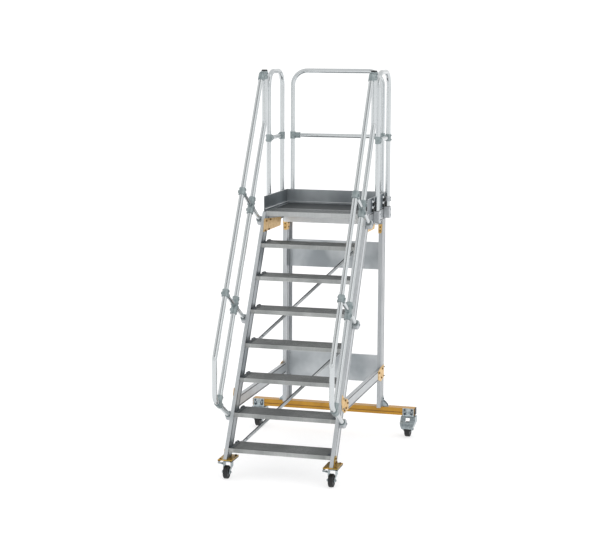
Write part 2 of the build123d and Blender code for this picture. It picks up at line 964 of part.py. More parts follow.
# Rear castor mountings: angles on the front and bottom of the rear beam
rear_castor_half_track = beam_length / 2 - rear_castor_inset
with BuildPart() as rear_brackets:
    bracket_x = (
        rear_castor_half_track - rear_bracket_width / 2,
        rear_castor_half_track + rear_bracket_width / 2,
    )
    block(
        bracket_x,
        (rear_beam_front_y - rear_bracket_sheet, rear_beam_front_y),
        (beam_bottom - rear_bracket_plate, rear_beam_top),
    )
    block(
        bracket_x,
        (rear_beam_front_y - rear_bracket_sheet, rear_beam_back_y),
        (beam_bottom - rear_bracket_plate, beam_bottom),
    )
    mirror(about=Plane.YZ)
write(rear_brackets, "rear_castor_brackets")

# Castors: "seat" is the height of the face they hang from, "crown" the width over the
# fork's top, "waist" how far up the fork starts to narrow, "leg" the height over the axle
# where its legs turn straight, "foot" their round end, and "hood" tells a covered fork
castors = (
    dict(
        name="front",
        x=front_castor_half_track,
        y=front_castor_y,
        seat=plate_bottom,
        plate_width=2 * pad_inner - 2 * foot_pad_edge,
        plate=7,
        race=14,
        wheel=100,
        tyre=35,
        trail=38,
        crown=62,
        crown_depth=60,
        waist=0.45,
        leg=16,
        foot=16,
        hood=False,
    ),
    dict(
        name="rear",
        x=rear_castor_half_track,
        y=beam_middle_y,
        seat=beam_bottom - rear_bracket_plate,
        plate_width=rear_bracket_width,
        plate=2,
        race=3,
        wheel=125,
        tyre=42,
        trail=34,
        crown=122,
        crown_depth=84,
        waist=0.54,
        leg=-20,
        foot=26,
        hood=True,
    ),
)

# Castor heads: plate, race and king pin with its nut below the fork
with BuildPart() as castor_heads:
    for castor in castors:
        x, y, seat = castor["x"], castor["y"], castor["seat"]
        plate_foot = seat - castor["plate"]
        race_foot = plate_foot - castor["race"]
        nut_top = race_foot - fork_sheet - 2 * swivel_gap
        block(
            (x - castor["plate_width"] / 2, x + castor["plate_width"] / 2),
            (y - castor_plate_length / 2, y + castor_plate_length / 2),
            (plate_foot, seat),
        )
        rod((x, y, plate_foot), (x, y, race_foot), race_diameter)
        rod((x, y, race_foot), (x, y, nut_top), pin_diameter)
        rod((x, y, nut_top), (x, y, nut_top - pin_nut_height), pin_nut_diameter)
    mirror(about=Plane.YZ)
write(castor_heads, "castor_heads")


def fork_front(x, half_crown, crown_z, waist_z, half_leg, leg_z):
    """Outline of a fork seen along Y: wide crown, narrow feet beside the wheel."""
    return [
        (x - half_crown, crown_z),
        (x + half_crown, crown_z),
        (x + half_crown, waist_z),
        (x + half_leg, leg_z),
        (x + half_leg, leg_z - fork_reach),
        (x - half_leg, leg_z - fork_reach),
        (x - half_leg, leg_z),
        (x - half_crown, waist_z),
    ]


def front_solid(points, y, reach, mode=Mode.ADD):
    """The outline seen along Y, drawn out to both sides of a place on Y."""
    with BuildSketch(Plane.XZ.offset(-y)) as front_view:
        with BuildLine():
            Polyline(*points, close=True)
        make_face()
    extrude(front_view.sketch, amount=reach, both=True, mode=mode)


def hood_solid(castor, inset, y_back, z_foot, x_start, x_end, mode=Mode.ADD):
    """The side outline of a covered fork, shrunk at its front and top by an inset."""
    radius = castor["wheel"] / 2
    axle_y = castor["y"] - castor["trail"]
    crown_z = castor["seat"] - castor["plate"] - castor["race"] - swivel_gap
    cover = radius + hood_gap + fork_sheet - inset
    with BuildSketch(Plane.YZ.offset(x_start)) as side_view:
        with BuildLine():
            arc = CenterArc(
                (axle_y, radius), cover, 180 - hood_high_angle, hood_high_angle - hood_low_angle
            )
            Polyline(
                arc @ 1,
                (axle_y - cover, z_foot) if inset else (axle_y - castor["foot"], z_foot),
                (y_back, z_foot),
                (y_back, crown_z - inset),
                (castor["y"] - castor["crown_depth"] / 2 + inset, crown_z - inset),
                arc @ 0,
            )
        make_face()
    extrude(side_view.sketch, amount=x_end - x_start, mode=mode)


for castor in castors:
    kind = castor["name"]
    radius = castor["wheel"] / 2
    half_tyre = castor["tyre"] / 2
    axle_y = castor["y"] - castor["trail"]
    crown_top = castor["seat"] - castor["plate"] - castor["race"] - swivel_gap
    half_crown = castor["crown"] / 2
    half_depth = castor["crown_depth"] / 2
    half_leg = half_tyre + tyre_side_gap + fork_sheet
    waist_z = radius + (crown_top - radius) * castor["waist"]
    leg_z = radius + castor["leg"]
    flare = max(0, (radius - leg_z) / (waist_z - leg_z))
    half_cheek = half_leg + (half_crown - half_leg) * flare  # at the height of the axle
    rim_radius = radius - tyre_wall
    reach = radius + castor["trail"] + half_depth
    for side, sign in (("right", 1), ("left", -1)):
        x = sign * castor["x"]
        x_start = x - castor["crown"]
        x_end = x + castor["crown"]

        # Room inside the fork
        with BuildPart() as room:
            front_solid(
                fork_front(
                    x,
                    half_crown - fork_sheet,
                    crown_top - fork_sheet,
                    waist_z,
                    half_leg - fork_sheet,
                    leg_z,
                ),
                castor["y"],
                reach,
            )
            if castor["hood"]:
                hood_solid(castor, fork_sheet, castor["y"] + reach, 0, x_start, x_end, Mode.INTERSECT)

        # Fork: bent sheet over the wheel, with the axle and its heads
        with BuildPart() as fork:
            if castor["hood"]:
                hood_solid(castor, 0, castor["y"] + half_depth, radius, x_start, x_end)
            else:
                slab(
                    [
                        (castor["y"] - half_depth, crown_top),
                        (castor["y"] + half_depth, crown_top),
                        (castor["y"] + half_depth, waist_z),
                        (axle_y + castor["foot"], radius),
                        (axle_y - castor["foot"], radius),
                        (castor["y"] - half_depth, waist_z),
                    ],
                    x_start,
                    x_end,
                )
            rod((x_start, axle_y, radius), (x_end, axle_y, radius), 2 * castor["foot"])
            front_solid(
                fork_front(x, half_crown, crown_top, waist_z, half_leg, leg_z),
                castor["y"],
                reach,
                mode=Mode.INTERSECT,
            )
            add(room.part, mode=Mode.SUBTRACT)
            if castor["hood"]:
                block(
                    (x - hood_window / 2, x + hood_window / 2),
                    (castor["y"] - reach, castor["y"] - half_depth + 2 * fork_sheet),
                    (2 * radius, crown_top - fork_sheet - hood_window_margin),
                    mode=Mode.SUBTRACT,
                )
            rod(
                (x - half_cheek - axle_head_length, axle_y, radius),
                (x + half_cheek + axle_head_length, axle_y, radius),
                axle_diameter,
            )
            for end in (-1, 1):
                rod(
                    (x + end * half_leg, axle_y, radius),
                    (x + end * (half_cheek + axle_head_length), axle_y, radius),
                    axle_head_diameter,
                )
            rod(
                (x, castor["y"], crown_top + fork_sheet),
                (x, castor["y"], crown_top - 2 * fork_sheet),
                pin_diameter + 2 * fit_gap,
                mode=Mode.SUBTRACT,
            )
        write(fork, f"{kind}_fork_{side}")

        # Hub: boss, disc and rim, bored for the axle
        with BuildPart() as hub:
            boss_half = half_leg - fork_sheet - hub_side_gap
            rim_half = half_tyre - rim_inset
            rod((x - boss_half, axle_y, radius), (x + boss_half, axle_y, radius), hub_boss_diameter)
            rod((x - rim_half, axle_y, radius), (x + rim_half, axle_y, radius), 2 * rim_radius)
            for end in (-1, 1):
                with BuildSketch(Plane.YZ.offset(x + end * hub_disc / 2)) as dish:
                    with Locations((axle_y, radius)):
                        Circle(rim_radius - rim_wall)
                        Circle(hub_boss_diameter / 2, mode=Mode.SUBTRACT)
                extrude(dish.sketch, amount=end * rim_half, mode=Mode.SUBTRACT)
            rod(
                (x - boss_half, axle_y, radius),
                (x + boss_half, axle_y, radius),
                axle_diameter + 2 * fit_gap,
                mode=Mode.SUBTRACT,
            )
        write(hub, f"{kind}_hub_{side}")

        # Tyre with rounded shoulders
        with BuildPart() as tyre:
            rod((x - half_tyre, axle_y, radius), (x + half_tyre, axle_y, radius), 2 * radius)
            fillet(tyre.edges(), radius=tyre_edge)
            rod(
                (x - half_tyre, axle_y, radius),
                (x + half_tyre, axle_y, radius),
                2 * (rim_radius + fit_gap),
                mode=Mode.SUBTRACT,
            )
        write(tyre, f"{kind}_tyre_{side}")

        # Brake pedal on the left cheek of each front fork
        if not castor["hood"]:
            with BuildPart() as pedal:
                front_solid(
                    [
                        (x - half_crown, pedal_height),
                        (x - half_crown, pedal_height + pedal_sheet),
                        (x - pedal_reach, pedal_height + pedal_sheet + pedal_rise),
                        (x - pedal_reach, pedal_height + pedal_rise),
                    ],
                    castor["y"] - pedal_lead,
                    pedal_width / 2,
                )
            write(pedal, f"brake_pedal_{side}")
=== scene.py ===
import math

import bpy
from mathutils import Matrix, Vector


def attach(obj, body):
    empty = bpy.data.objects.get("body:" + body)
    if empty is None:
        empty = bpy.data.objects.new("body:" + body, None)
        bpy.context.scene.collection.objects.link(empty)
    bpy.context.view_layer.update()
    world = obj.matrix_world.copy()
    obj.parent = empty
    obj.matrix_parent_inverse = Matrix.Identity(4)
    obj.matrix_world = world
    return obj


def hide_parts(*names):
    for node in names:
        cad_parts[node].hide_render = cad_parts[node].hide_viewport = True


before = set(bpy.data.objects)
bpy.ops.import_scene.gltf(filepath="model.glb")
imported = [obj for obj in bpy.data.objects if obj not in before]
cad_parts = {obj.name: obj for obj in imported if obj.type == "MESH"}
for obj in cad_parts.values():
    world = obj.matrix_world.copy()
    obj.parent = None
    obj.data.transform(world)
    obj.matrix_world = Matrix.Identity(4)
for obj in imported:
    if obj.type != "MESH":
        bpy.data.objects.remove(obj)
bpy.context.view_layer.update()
print("frame loaded,", len(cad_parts), "nodes")

# Camera: the place and turn that the photograph was taken from
camera = {
    "place": (3.1058, -11.3826, 3.2329),  # metres
    "yaw": 15.526,  # degrees, to the left of straight ahead
    "pitch": 8.425,  # looking down
    "roll": 0.2376,
    "lens": 92.25,  # mm on a 36 mm wide sensor
}


def makeCamera(settings):
    bpy.ops.object.camera_add(location=settings["place"])
    made = bpy.context.object
    made.name = "studioCamera"
    turn = Matrix.Rotation(math.radians(settings["yaw"]), 4, "Z")
    turn = turn @ Matrix.Rotation(math.radians(90 - settings["pitch"]), 4, "X")
    turn = turn @ Matrix.Rotation(math.radians(settings["roll"]), 4, "Z")
    made.rotation_euler = turn.to_euler()
    made.data.lens = settings["lens"]
    made.data.sensor_width = 36
    made.data.clip_end = 200
    bpy.context.scene.camera = made


makeCamera(camera)
print("camera set")

# Places that the pieces share, in millimetres; the flight starts at the lowest nose
flight = {
    "noseY": -760.47,
    "noseZ": 230,
    "rise": 240,
    "angle": 60,
    "treads": 7,
    "treadDepth": 218,
    "halfClear": 395,
    "halfOuter": 422,
    "plate": 3,
    "railX": 443,
    "struts": (1045, 1875),  # up the slope
    "leg": 265,
}
slopeCos = math.cos(math.radians(flight["angle"]))
slopeSin = math.sin(math.radians(flight["angle"]))
going = flight["rise"] / math.tan(math.radians(flight["angle"]))


# y and z of the point this far up the nose line and this far off its front
def slopePoint(along, off):
    y = flight["noseY"] + along * slopeCos - off * slopeSin
    z = flight["noseZ"] + along * slopeSin + off * slopeCos
    return y, z


def colour(hexText):  # sRGB hex to linear
    parts = [int(hexText[i : i + 2], 16) / 255 for i in (1, 3, 5)]
    linear = [p / 12.92 if p <= 0.04045 else ((p + 0.055) / 1.055) ** 2.4 for p in parts]
    return (*linear, 1)


# adds one node; settings are its properties or input values, links are (input, node, output)
def addNode(tree, kind, settings=None, links=()):
    node = tree.nodes.new("ShaderNode" + kind)
    for key, value in (settings or {}).items():
        if isinstance(key, str) and hasattr(node, key):
            setattr(node, key, value)
        else:
            node.inputs[key].default_value = value
    for socket, source, output in links:
        tree.links.new(source.outputs[output], node.inputs[socket])
    return node


def newMaterial(name):
    made = bpy.data.materials.new(name)
    made.use_nodes = True
    made.node_tree.nodes.clear()
    return made, made.node_tree


def grain(millimetres):  # noise scale whose cells are this wide
    return 1000 / millimetres


# a colour ramp between two tones, driven by a node's output
def addTones(tree, source, output, deep, tint):
    paint = addNode(tree, "ValToRGB", {}, [("Fac", source, output)])
    for element, position, hexText in zip(paint.color_ramp.elements, (0.35, 0.65), (deep, tint)):
        element.position = position
        element.color = colour(hexText)
    return paint, "Color"


# darkens a paint by another colour where the mask is one
def addShade(tree, paint, mask, maskOutput, hexText):
    shade = {"data_type": "RGBA", "blend_type": "MULTIPLY", 7: colour(hexText)}
    mixed = addNode(tree, "Mix", shade, [(0, mask, maskOutput), (6, paint[0], paint[1])])
    return mixed, 2


# one where the surface faces along an axis: "X", "Y" or "Z", facing 1 or -1
def addFacing(tree, place, axis, facing):
    split = addNode(tree, "SeparateXYZ", {}, [("Vector", place, "Normal")])
    edge = {"From Min": 0.55 * facing, "From Max": 0.8 * facing}  # cosines of the turn away
    return addNode(tree, "MapRange", edge, [("Value", split, axis)])


# one on the sides that face the middle of the flight, where painted shade goes
def addInward(tree, place):
    spot = addNode(tree, "SeparateXYZ", {}, [("Vector", place, "Object")])
    facing = addNode(tree, "SeparateXYZ", {}, [("Vector", place, "Normal")])
    both = addNode(tree, "Math", {"operation": "MULTIPLY"}, [(0, spot, "X"), (1, facing, "X")])
    edge = {"From Min": -0.1, "From Max": -0.3}  # metres from the middle, against the normal
    return addNode(tree, "MapRange", edge, [("Value", both, 0)])


# one inside stripes at these places, measured in metres along a direction
def addStripes(tree, place, direction, centres, halfWidth):
    measure = {"operation": "DOT_PRODUCT", 1: direction}
    far = addNode(tree, "VectorMath", measure, [(0, place, "Object")])
    total = None
    for centre in centres:
        band = {"operation": "COMPARE", 1: centre, 2: halfWidth}
        near = addNode(tree, "Math", band, [(0, far, "Value")])
        if total:
            near = addNode(tree, "Math", {"operation": "MAXIMUM"}, [(0, total, 0), (1, near, 0)])
        total = near
    return total


def closeMaterial(tree, paint, gloss, relief, settings):
    links = [("Base Color", *paint), ("Roughness", gloss, "Result"), ("Normal", relief, "Normal")]
    shader = addNode(tree, "BsdfPrincipled", settings, links)
    addNode(tree, "OutputMaterial", {}, [("Surface", shader, 0)])


# paints shade into the colour: by the way that a face looks, on the sides that face the middle of the
# flight, and in stripes
def addShades(tree, place, paint, s):
    for axis, facing, hexText in s.get("faces", ()):
        paint = addShade(tree, paint, addFacing(tree, place, axis, facing), "Result", hexText)
    if "inward" in s:
        paint = addShade(tree, paint, addInward(tree, place), "Result", s["inward"])
    for direction, centres, halfWidth, hexText in s.get("stripes", ()):
        stripes = addStripes(tree, place, direction, centres, halfWidth)
        paint = addShade(tree, paint, stripes, 0, hexText)
    return paint


# Extruded aluminium: long faint die lines run with the bar; painted shade darkens grooves and faces where
# the settings ask for it
def makeExtruded(name, s):
    made, tree = newMaterial(name)
    place = addNode(tree, "TexCoord")
    stretched = {"Rotation": s["turn"], "Scale": (1, 1, 0.012)}  # along the bar
    along = addNode(tree, "Mapping", stretched, [("Vector", place, "Object")])
    fine = {"Scale": grain(3), "Detail": 3.0}
    lines = addNode(tree, "TexNoise", fine, [("Vector", along, "Vector")])
    slow = {"Scale": grain(s.get("cloud", 160)), "Detail": 2.0}
    cloud = addNode(tree, "TexNoise", slow, [("Vector", place, "Object")])
    share = {"data_type": "FLOAT", "Factor": s.get("share", 0.45)}
    both = addNode(tree, "Mix", share, [(2, lines, "Fac"), (3, cloud, "Fac")])
    paint = addShades(tree, place, addTones(tree, both, 0, s["deep"], s["tint"]), s)
    rough = s.get("rough", 0.34)
    span = {"To Min": rough - 0.05, "To Max": rough + 0.09}
    gloss = addNode(tree, "MapRange", span, [("Value", both, 0)])
    depth = {"Strength": 0.12, "Distance": 0.0002}
    relief = addNode(tree, "Bump", depth, [("Height", lines, "Fac")])
    settings = {"Metallic": s.get("metallic", 0.7), "Specular IOR Level": s.get("specular", 0.5)}
    closeMaterial(tree, paint, gloss, relief, settings)
    return made


# A metal or plastic whose surface is broken only by grain, with a slow colour change and whatever painted
# shade its settings ask for
def makeGrained(name, s):
    made, tree = newMaterial(name)
    place = addNode(tree, "TexCoord")
    fine = {"Scale": grain(s.get("grain", 1)), "Detail": 2.0}
    grains = addNode(tree, "TexNoise", fine, [("Vector", place, "Object")])
    slow = {"Scale": grain(s.get("cloud", 60)), "Detail": 3.0}
    cloud = addNode(tree, "TexNoise", slow, [("Vector", place, "Object")])
    paint = addShades(tree, place, addTones(tree, cloud, "Fac", s["deep"], s["tint"]), s)
    spread = s.get("spread", 0.08)
    span = {"To Min": s["rough"] - spread, "To Max": s["rough"] + spread}
    gloss = addNode(tree, "MapRange", span, [("Value", cloud, "Fac")])
    depth = {"Strength": s.get("depth", 0.1), "Distance": 0.0003}
    relief = addNode(tree, "Bump", depth, [("Height", grains, "Fac")])
    settings = {"Metallic": s.get("metallic", 0.0), "Specular IOR Level": s.get("specular", 0.5)}
    if "glow" in s:
        settings.update({"Emission Color": (1, 1, 1, 1), "Emission Strength": s["glow"]})
    closeMaterial(tree, paint, gloss, relief, settings)
    return made


# Die-drawn side profiles: satin silver, with painted shade on the sides that face the middle of the flight
# and along two grooves on each wide side
extrudedSlope = makeExtruded("extruded aluminium, sloping", {
    "turn": (math.radians(-30), 0, 0), "tint": "#c6cacc", "deep": "#b0b4b7",
    # painted shade on the faces towards the middle of the flight
    "inward": "#cdd1d4",
    # painted shade along the two grooves
    "stripes": [((0, -slopeSin, slopeCos), (0.7556, 0.6836), 0.006, "#6c7074")],
})
# The same bar upright: tint painted a shade deeper as shade, painted shade along its grooves, and a painted
# black shadow line where the rear lip starts
extrudedUp = makeExtruded("extruded aluminium, upright", {
    # tint a shade deeper: painted shade
    "turn": (0, 0, 0), "tint": "#c2c5c7", "deep": "#abafb2",
    "stripes": [
        # painted shade along the grooves
        ((0, 1, 0), (0.8125, 0.8665), 0.0045, "#7c8084"),
        # painted shadow line where the rear lip starts
        ((0, 1, 0), (0.8925,), 0.0018, "#484c50"),
    ],
})
# The same bar level: painted shade darkens its grooves into thin dark lines
extrudedLevel = makeExtruded("extruded aluminium, level", {
    "turn": (math.radians(90), 0, 0), "tint": "#c0c3c5", "deep": "#a8acaf",
    # painted shade along the grooves
    "stripes": [((0, 0, 1), (1.898, 1.813, 0.563, 0.496), 0.0045, "#5c6064")],
})
# Bars across: pale, as they face the light
extrudedAcross = makeExtruded("extruded aluminium, across", {
    "turn": (0, math.radians(90), 0), "tint": "#f0f2f3", "deep": "#e2e5e6",
    "metallic": 0.35,
})
# Ribbed plank: top faces painted darker, a painted shade for the dark surroundings they mirror; the nose
# keeps the paler tone
treadMetal = makeExtruded("ribbed extruded aluminium, tread, top painted darker", {
    "turn": (0, math.radians(90), 0), "tint": "#bdbfbe", "deep": "#8e9190",
    "share": 0.7, "cloud": 230, "rough": 0.46, "metallic": 0.25, "specular": 0.25,
    # painted shade on the faces that look up
    "faces": [("Z", 1, "#848687")],
})
# Deck plank: top faces painted darker as shade, and darker behind the front plank; the front edge keeps the
# plain tone
deckMetal = makeExtruded("ribbed extruded aluminium, deck", {
    "turn": (0, math.radians(90), 0), "tint": "#bcbebe", "deep": "#a6a9a9",
    "rough": 0.48, "metallic": 0.25, "specular": 0.25,
    # painted shade on the faces that look up
    "faces": [("Z", 1, "#6f7476")],
    # darker behind the front plank
    "stripes": [((0, 1, 0), (0.664,), 0.229, "#a2a6a8")],
})
# Cast ends of the treads: painted shade, strong on the faces that look up and light on the faces that look
# sideways; the fronts keep the pale tone
capMetal = makeGrained("cast aluminium tread end", {
    "tint": "#a3a5a4", "deep": "#8e908f",
    "rough": 0.5, "metallic": 0.3, "depth": 0.3, "cloud": 30,
    # painted shade by the way each face looks
    "faces": [("Z", 1, "#585b5e"), ("X", 1, "#9a9c9d"), ("X", -1, "#9a9c9d")],
})
# Drawn tube: clean satin skin, long soft reflections
tubeMetal = makeGrained("drawn aluminium tube, satin", {
    "tint": "#cbcfd0", "deep": "#c5c9cb",
    "grain": 0.8, "rough": 0.15, "spread": 0.01, "metallic": 0.92, "depth": 0.02, "cloud": 400,
})
# Rolled sheet: even silver grey with a slow cloud
sheetMetal = makeGrained("rolled aluminium sheet", {
    "tint": "#cfd3d5", "deep": "#9ca2a6",
    "grain": 1.2, "rough": 0.34, "metallic": 0.6, "depth": 0.05, "cloud": 300,
})
# The same sheet as kick boards: a broader, duller cloud, with painted shade on the faces that look to the
# right
kickMetal = makeGrained("rolled aluminium kick board", {
    "tint": "#c0c5c8", "deep": "#868c90",
    "grain": 1.2, "rough": 0.36, "metallic": 0.6, "depth": 0.05, "cloud": 420,
    # painted shade on faces that look to the right
    "faces": [("X", 1, "#b4b9bc")],
})
# Pressure castings: fine orange-peel skin, a little green in the grey
castMetal = makeGrained("pressure cast aluminium", {
    "tint": "#9aa4a5", "deep": "#808b8d",
    "rough": 0.44, "metallic": 0.6, "depth": 0.3, "cloud": 30,
})
# Blasted castings: lighter and even
paleCast = makeGrained("pressure cast aluminium, blasted", {
    "tint": "#bfc2c5", "deep": "#abafb2",
    "rough": 0.42, "metallic": 0.5, "depth": 0.2, "cloud": 40,
})
# Castings with their foundry skin: dark and uneven
darkCast = makeGrained("cast aluminium, dark skin", {
    "tint": "#6a6e71", "deep": "#484c4f",
    "rough": 0.48, "metallic": 0.4, "depth": 0.3, "cloud": 24,
})
# Edges that were cut after the sheet was rolled: clean and pale
brightTrim = makeGrained("cut aluminium edge", {
    "tint": "#e4e7e8", "deep": "#d2d6d8",
    "grain": 0.8, "rough": 0.34, "metallic": 0.5, "depth": 0.05,
})
# Yellow chromate on zinc: warm gold that drifts to olive
goldZinc = makeGrained("yellow passivated zinc on steel", {
    "tint": "#e2c083", "deep": "#c69a4e",
    "grain": 0.9, "rough": 0.38, "metallic": 0.55, "depth": 0.12, "cloud": 24, "spread": 0.1,
})
# Thick plate from the same bath: deeper gold, greener in its clouds
goldPlate = makeGrained("yellow passivated zinc on thick plate", {
    "tint": "#c09238", "deep": "#8c7a30",
    "grain": 0.9, "rough": 0.4, "metallic": 0.55, "depth": 0.12, "cloud": 20, "spread": 0.1,
})
# Ochre powder coat: slight orange peel, with a thin darker line along the beam at 200 mm height
beamCoat = makeGrained("ochre powder coat", {
    "tint": "#bd8a20", "deep": "#ab7a18",
    "grain": 1.4, "rough": 0.36, "metallic": 0.1, "depth": 0.12, "cloud": 110,
    # a thin darker line 200 mm up
    "stripes": [((0, 0, 1), (0.2,), 0.0026, "#a88a50")],
})
# Zinc on pressed steel: blue grey with soft flecks
brightZinc = makeGrained("bright zinc on pressed steel", {
    "tint": "#b4bec1", "deep": "#8f9a9e",
    "grain": 1.4, "rough": 0.34, "metallic": 0.7, "depth": 0.12, "cloud": 14,
})
# Zinc on turned steel: small glints on the heads
boltZinc = makeGrained("bright zinc on turned steel", {
    "tint": "#b2b8bb", "deep": "#868d90",
    "grain": 0.6, "rough": 0.36, "metallic": 0.8, "depth": 0.08, "cloud": 8,
})
# Blackened steel: dull blue black; the same tone is painted as the shade inside the castor bracket slots
darkZinc = makeGrained("blackened steel, also slot shade", {
    "tint": "#5c656c", "deep": "#3c444a",
    "grain": 0.8, "rough": 0.4, "metallic": 0.6, "cloud": 12,
})
# Bolts that were dipped with the plates: brown gold
brownZinc = makeGrained("yellow passivated zinc on turned steel", {
    "tint": "#8a6632", "deep": "#5c4420",
    "grain": 0.6, "rough": 0.4, "metallic": 0.6, "depth": 0.08, "cloud": 8,
})
# Strip folded over one edge: painted shade darkens two lines where the fold turns under
braceSheet = makeGrained("rolled aluminium strip", {
    "tint": "#e0e3e4", "deep": "#ccd0d2",
    "grain": 1.2, "rough": 0.36, "metallic": 0.4, "depth": 0.05, "cloud": 200,
    # painted shade where the fold turns under
    "stripes": [((-0.7586, 0.3258, 0.5643), (0.2303, 0.772), 0.0043, "#54585c")],
})
# Moulded nylon: dark, with a soft grainy sheen
blackPlastic = makeGrained("black moulded nylon", {
    "tint": "#1c1d1e", "deep": "#121314",
    "grain": 0.7, "rough": 0.5, "depth": 0.2, "cloud": 25,
})
# The same in dark grey, so that hubs stand out from their tyres
darkPlastic = makeGrained("dark grey moulded nylon", {
    "tint": "#3a3d40", "deep": "#2a2c2f",
    "grain": 0.7, "rough": 0.48, "depth": 0.2, "cloud": 25,
})
# Tyre rubber: black and matt, slightly dusty
rubber = makeGrained("black tyre rubber", {
    "tint": "#1b1d1f", "deep": "#101112",
    "grain": 0.9, "rough": 0.62, "depth": 0.3, "cloud": 18,
})

finishes = [
    # material, CAD nodes
    (extrudedSlope, ["stringer_left", "stringer_right"]),
    (extrudedUp, ["uprights"]),
    (extrudedLevel, ["side_beams", "base_struts"]),
    (extrudedAcross, ["platform_cross_beams"]),
    (treadMetal, ["treads"]),
    (capMetal, ["tread_end_caps"]),
    (castMetal, ["rail_clamps", "rail_top_fittings", "guard_tees"]),
    (paleCast, ["rail_feet", "guard_sleeves"]),
    (deckMetal, ["platform_deck"]),
    (kickMetal, ["kick_boards_side", "kick_board_back"]),
    (sheetMetal, ["rear_panels"]),
    (braceSheet, ["stair_braces"]),
    (tubeMetal, ["handrail_left", "handrail_right", "knee_rails", "rail_struts"]),
    (tubeMetal, ["guard_left", "guard_right", "guard_back", "guard_mid_rails"]),
    (goldZinc, ["corner_gussets", "brackets_top_rear"]),
    (goldPlate, ["front_foot_plates"]),
    (beamCoat, ["rear_beam"]),
    (brightZinc, ["upright_foot_brackets", "rear_castor_brackets", "castor_heads"]),
    (brightZinc, ["front_fork_left", "front_fork_right", "rear_fork_left", "rear_fork_right"]),
    (brightZinc, ["brake_pedal_left", "brake_pedal_right"]),
    (blackPlastic, ["front_foot_pads", "rail_top_caps", "beam_end_caps"]),
    (darkPlastic, ["front_hub_left", "front_hub_right", "rear_hub_left", "rear_hub_right"]),
    (rubber, ["front_tyre_left", "front_tyre_right", "rear_tyre_left", "rear_tyre_right"]),
]
for material, names in finishes:
    for name in names:
        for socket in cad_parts[name].material_slots:
            socket.material = material
print("materials on", sum(len(names) for _, names in finishes), "nodes")


def clearSelection():
    bpy.ops.object.select_all(action="DESELECT")


def selectOnly(piece):
    clearSelection()
    piece.select_set(True)
    bpy.context.view_layer.objects.active = piece


# opens the piece for editing with only the faces selected that the test accepts
def openFaces(piece, test):
    selectOnly(piece)
    bpy.ops.object.mode_set(mode="EDIT")
    bpy.ops.mesh.select_mode(type="FACE")
    bpy.ops.mesh.select_all(action="DESELECT")
    bpy.ops.object.mode_set(mode="OBJECT")
    for face in piece.data.polygons:
        face.select = test(face.center * 1000, face.normal)
    bpy.ops.object.mode_set(mode="EDIT")


def closeEdit():
    bpy.ops.object.mode_set(mode="OBJECT")


def anyFace(centre, normal):
    return True


def facesUp(centre, normal):
    return normal.z > 0.99


# pushes the middle of the chosen faces in, leaving a margin, both in mm; ends the editing
def sinkMiddle(margin, depth):
    bpy.ops.mesh.inset(thickness=margin / 1000)
    bpy.ops.mesh.extrude_region_move(TRANSFORM_OT_translate={"value": (0, 0, -depth / 1000)})
    closeEdit()


def softenEdges(piece, width, segments=2):  # mm
    bevel = piece.modifiers.new("edges", "BEVEL")
    bevel.width = width / 1000
    bevel.segments = segments
    bevel.limit_method = "ANGLE"
    bevel.angle_limit = math.radians(40)
    selectOnly(piece)
    for modifier in list(piece.modifiers):
        bpy.ops.object.modifier_apply(modifier=modifier.name)


# a block around the origin with soft edges, sizes in mm
def startBlock(size, soft, segments=2):
    clearSelection()
    bpy.ops.mesh.primitive_cube_add(size=1, location=(0, 0, 0))
    made = bpy.context.object
    made.scale = [s / 1000 for s in size]
    bpy.ops.object.transform_apply(location=False, rotation=False, scale=True)
    softenEdges(made, soft, segments)
    return made


# a disc that stands on the origin, its upper rim softened
def startDisc(width, height, soft, vertices=28, segments=2):
    clearSelection()
    bpy.ops.mesh.primitive_cylinder_add(
        vertices=vertices, radius=width / 2000, depth=height / 1000, location=(0, 0, height / 2000)
    )
    made = bpy.context.object
    bpy.ops.object.transform_apply(location=True, rotation=False, scale=False)
    openFaces(made, facesUp)
    bpy.ops.mesh.bevel(offset=soft / 1000, segments=segments)
    closeEdit()
    return made


# a flat ring that stands on the origin
def startRing(outer, inner, height, soft, vertices=32):
    clearSelection()
    bpy.ops.mesh.primitive_circle_add(
        vertices=vertices, radius=outer / 2000, fill_type="NGON", location=(0, 0, 0)
    )
    made = bpy.context.object
    openFaces(made, anyFace)
    bpy.ops.mesh.inset(thickness=(outer - inner) / 2000)
    bpy.ops.mesh.delete(type="FACE")
    closeEdit()
    wall = made.modifiers.new("wall", "SOLIDIFY")
    wall.thickness = height / 1000
    wall.offset = 1
    softenEdges(made, soft)
    return made


# a copy with its own mesh, its Z axis turned to a direction and moved to a place in mm;
# across is where its X axis goes
def copyTo(source, place, direction, spin=0, across=None):
    made = source.copy()
    made.data = source.data.copy()
    bpy.context.scene.collection.objects.link(made)
    if across:
        up = Vector(direction).normalized()
        side = Vector(across).normalized()
        turn = Matrix((side, up.cross(side), up)).transposed().to_4x4()
    else:
        turn = Vector(direction).to_track_quat("Z", "Y").to_matrix().to_4x4()
    made.matrix_world = (
        Matrix.Translation(Vector(place) / 1000) @ turn @ Matrix.Rotation(math.radians(spin), 4, "Z")
    )
    return made


# a copy on the right, and one on the left at the mirrored place and direction
def addPair(copies, source, place, direction, spin=0, across=None):
    for side in (-1, 1):
        spot, way = (side * place[0], *place[1:]), (side * direction[0], *direction[1:])
        copies.append(copyTo(source, spot, way, spin, across and (side * across[0], *across[1:])))


# joins parts of one piece while it is being made
def joinParts(parts):
    clearSelection()
    for one in parts:
        one.select_set(True)
    bpy.context.view_layer.objects.active = parts[0]
    if len(parts) > 1:
        bpy.ops.object.join()
    bpy.ops.object.transform_apply(location=True, rotation=True, scale=True)
    return bpy.context.object


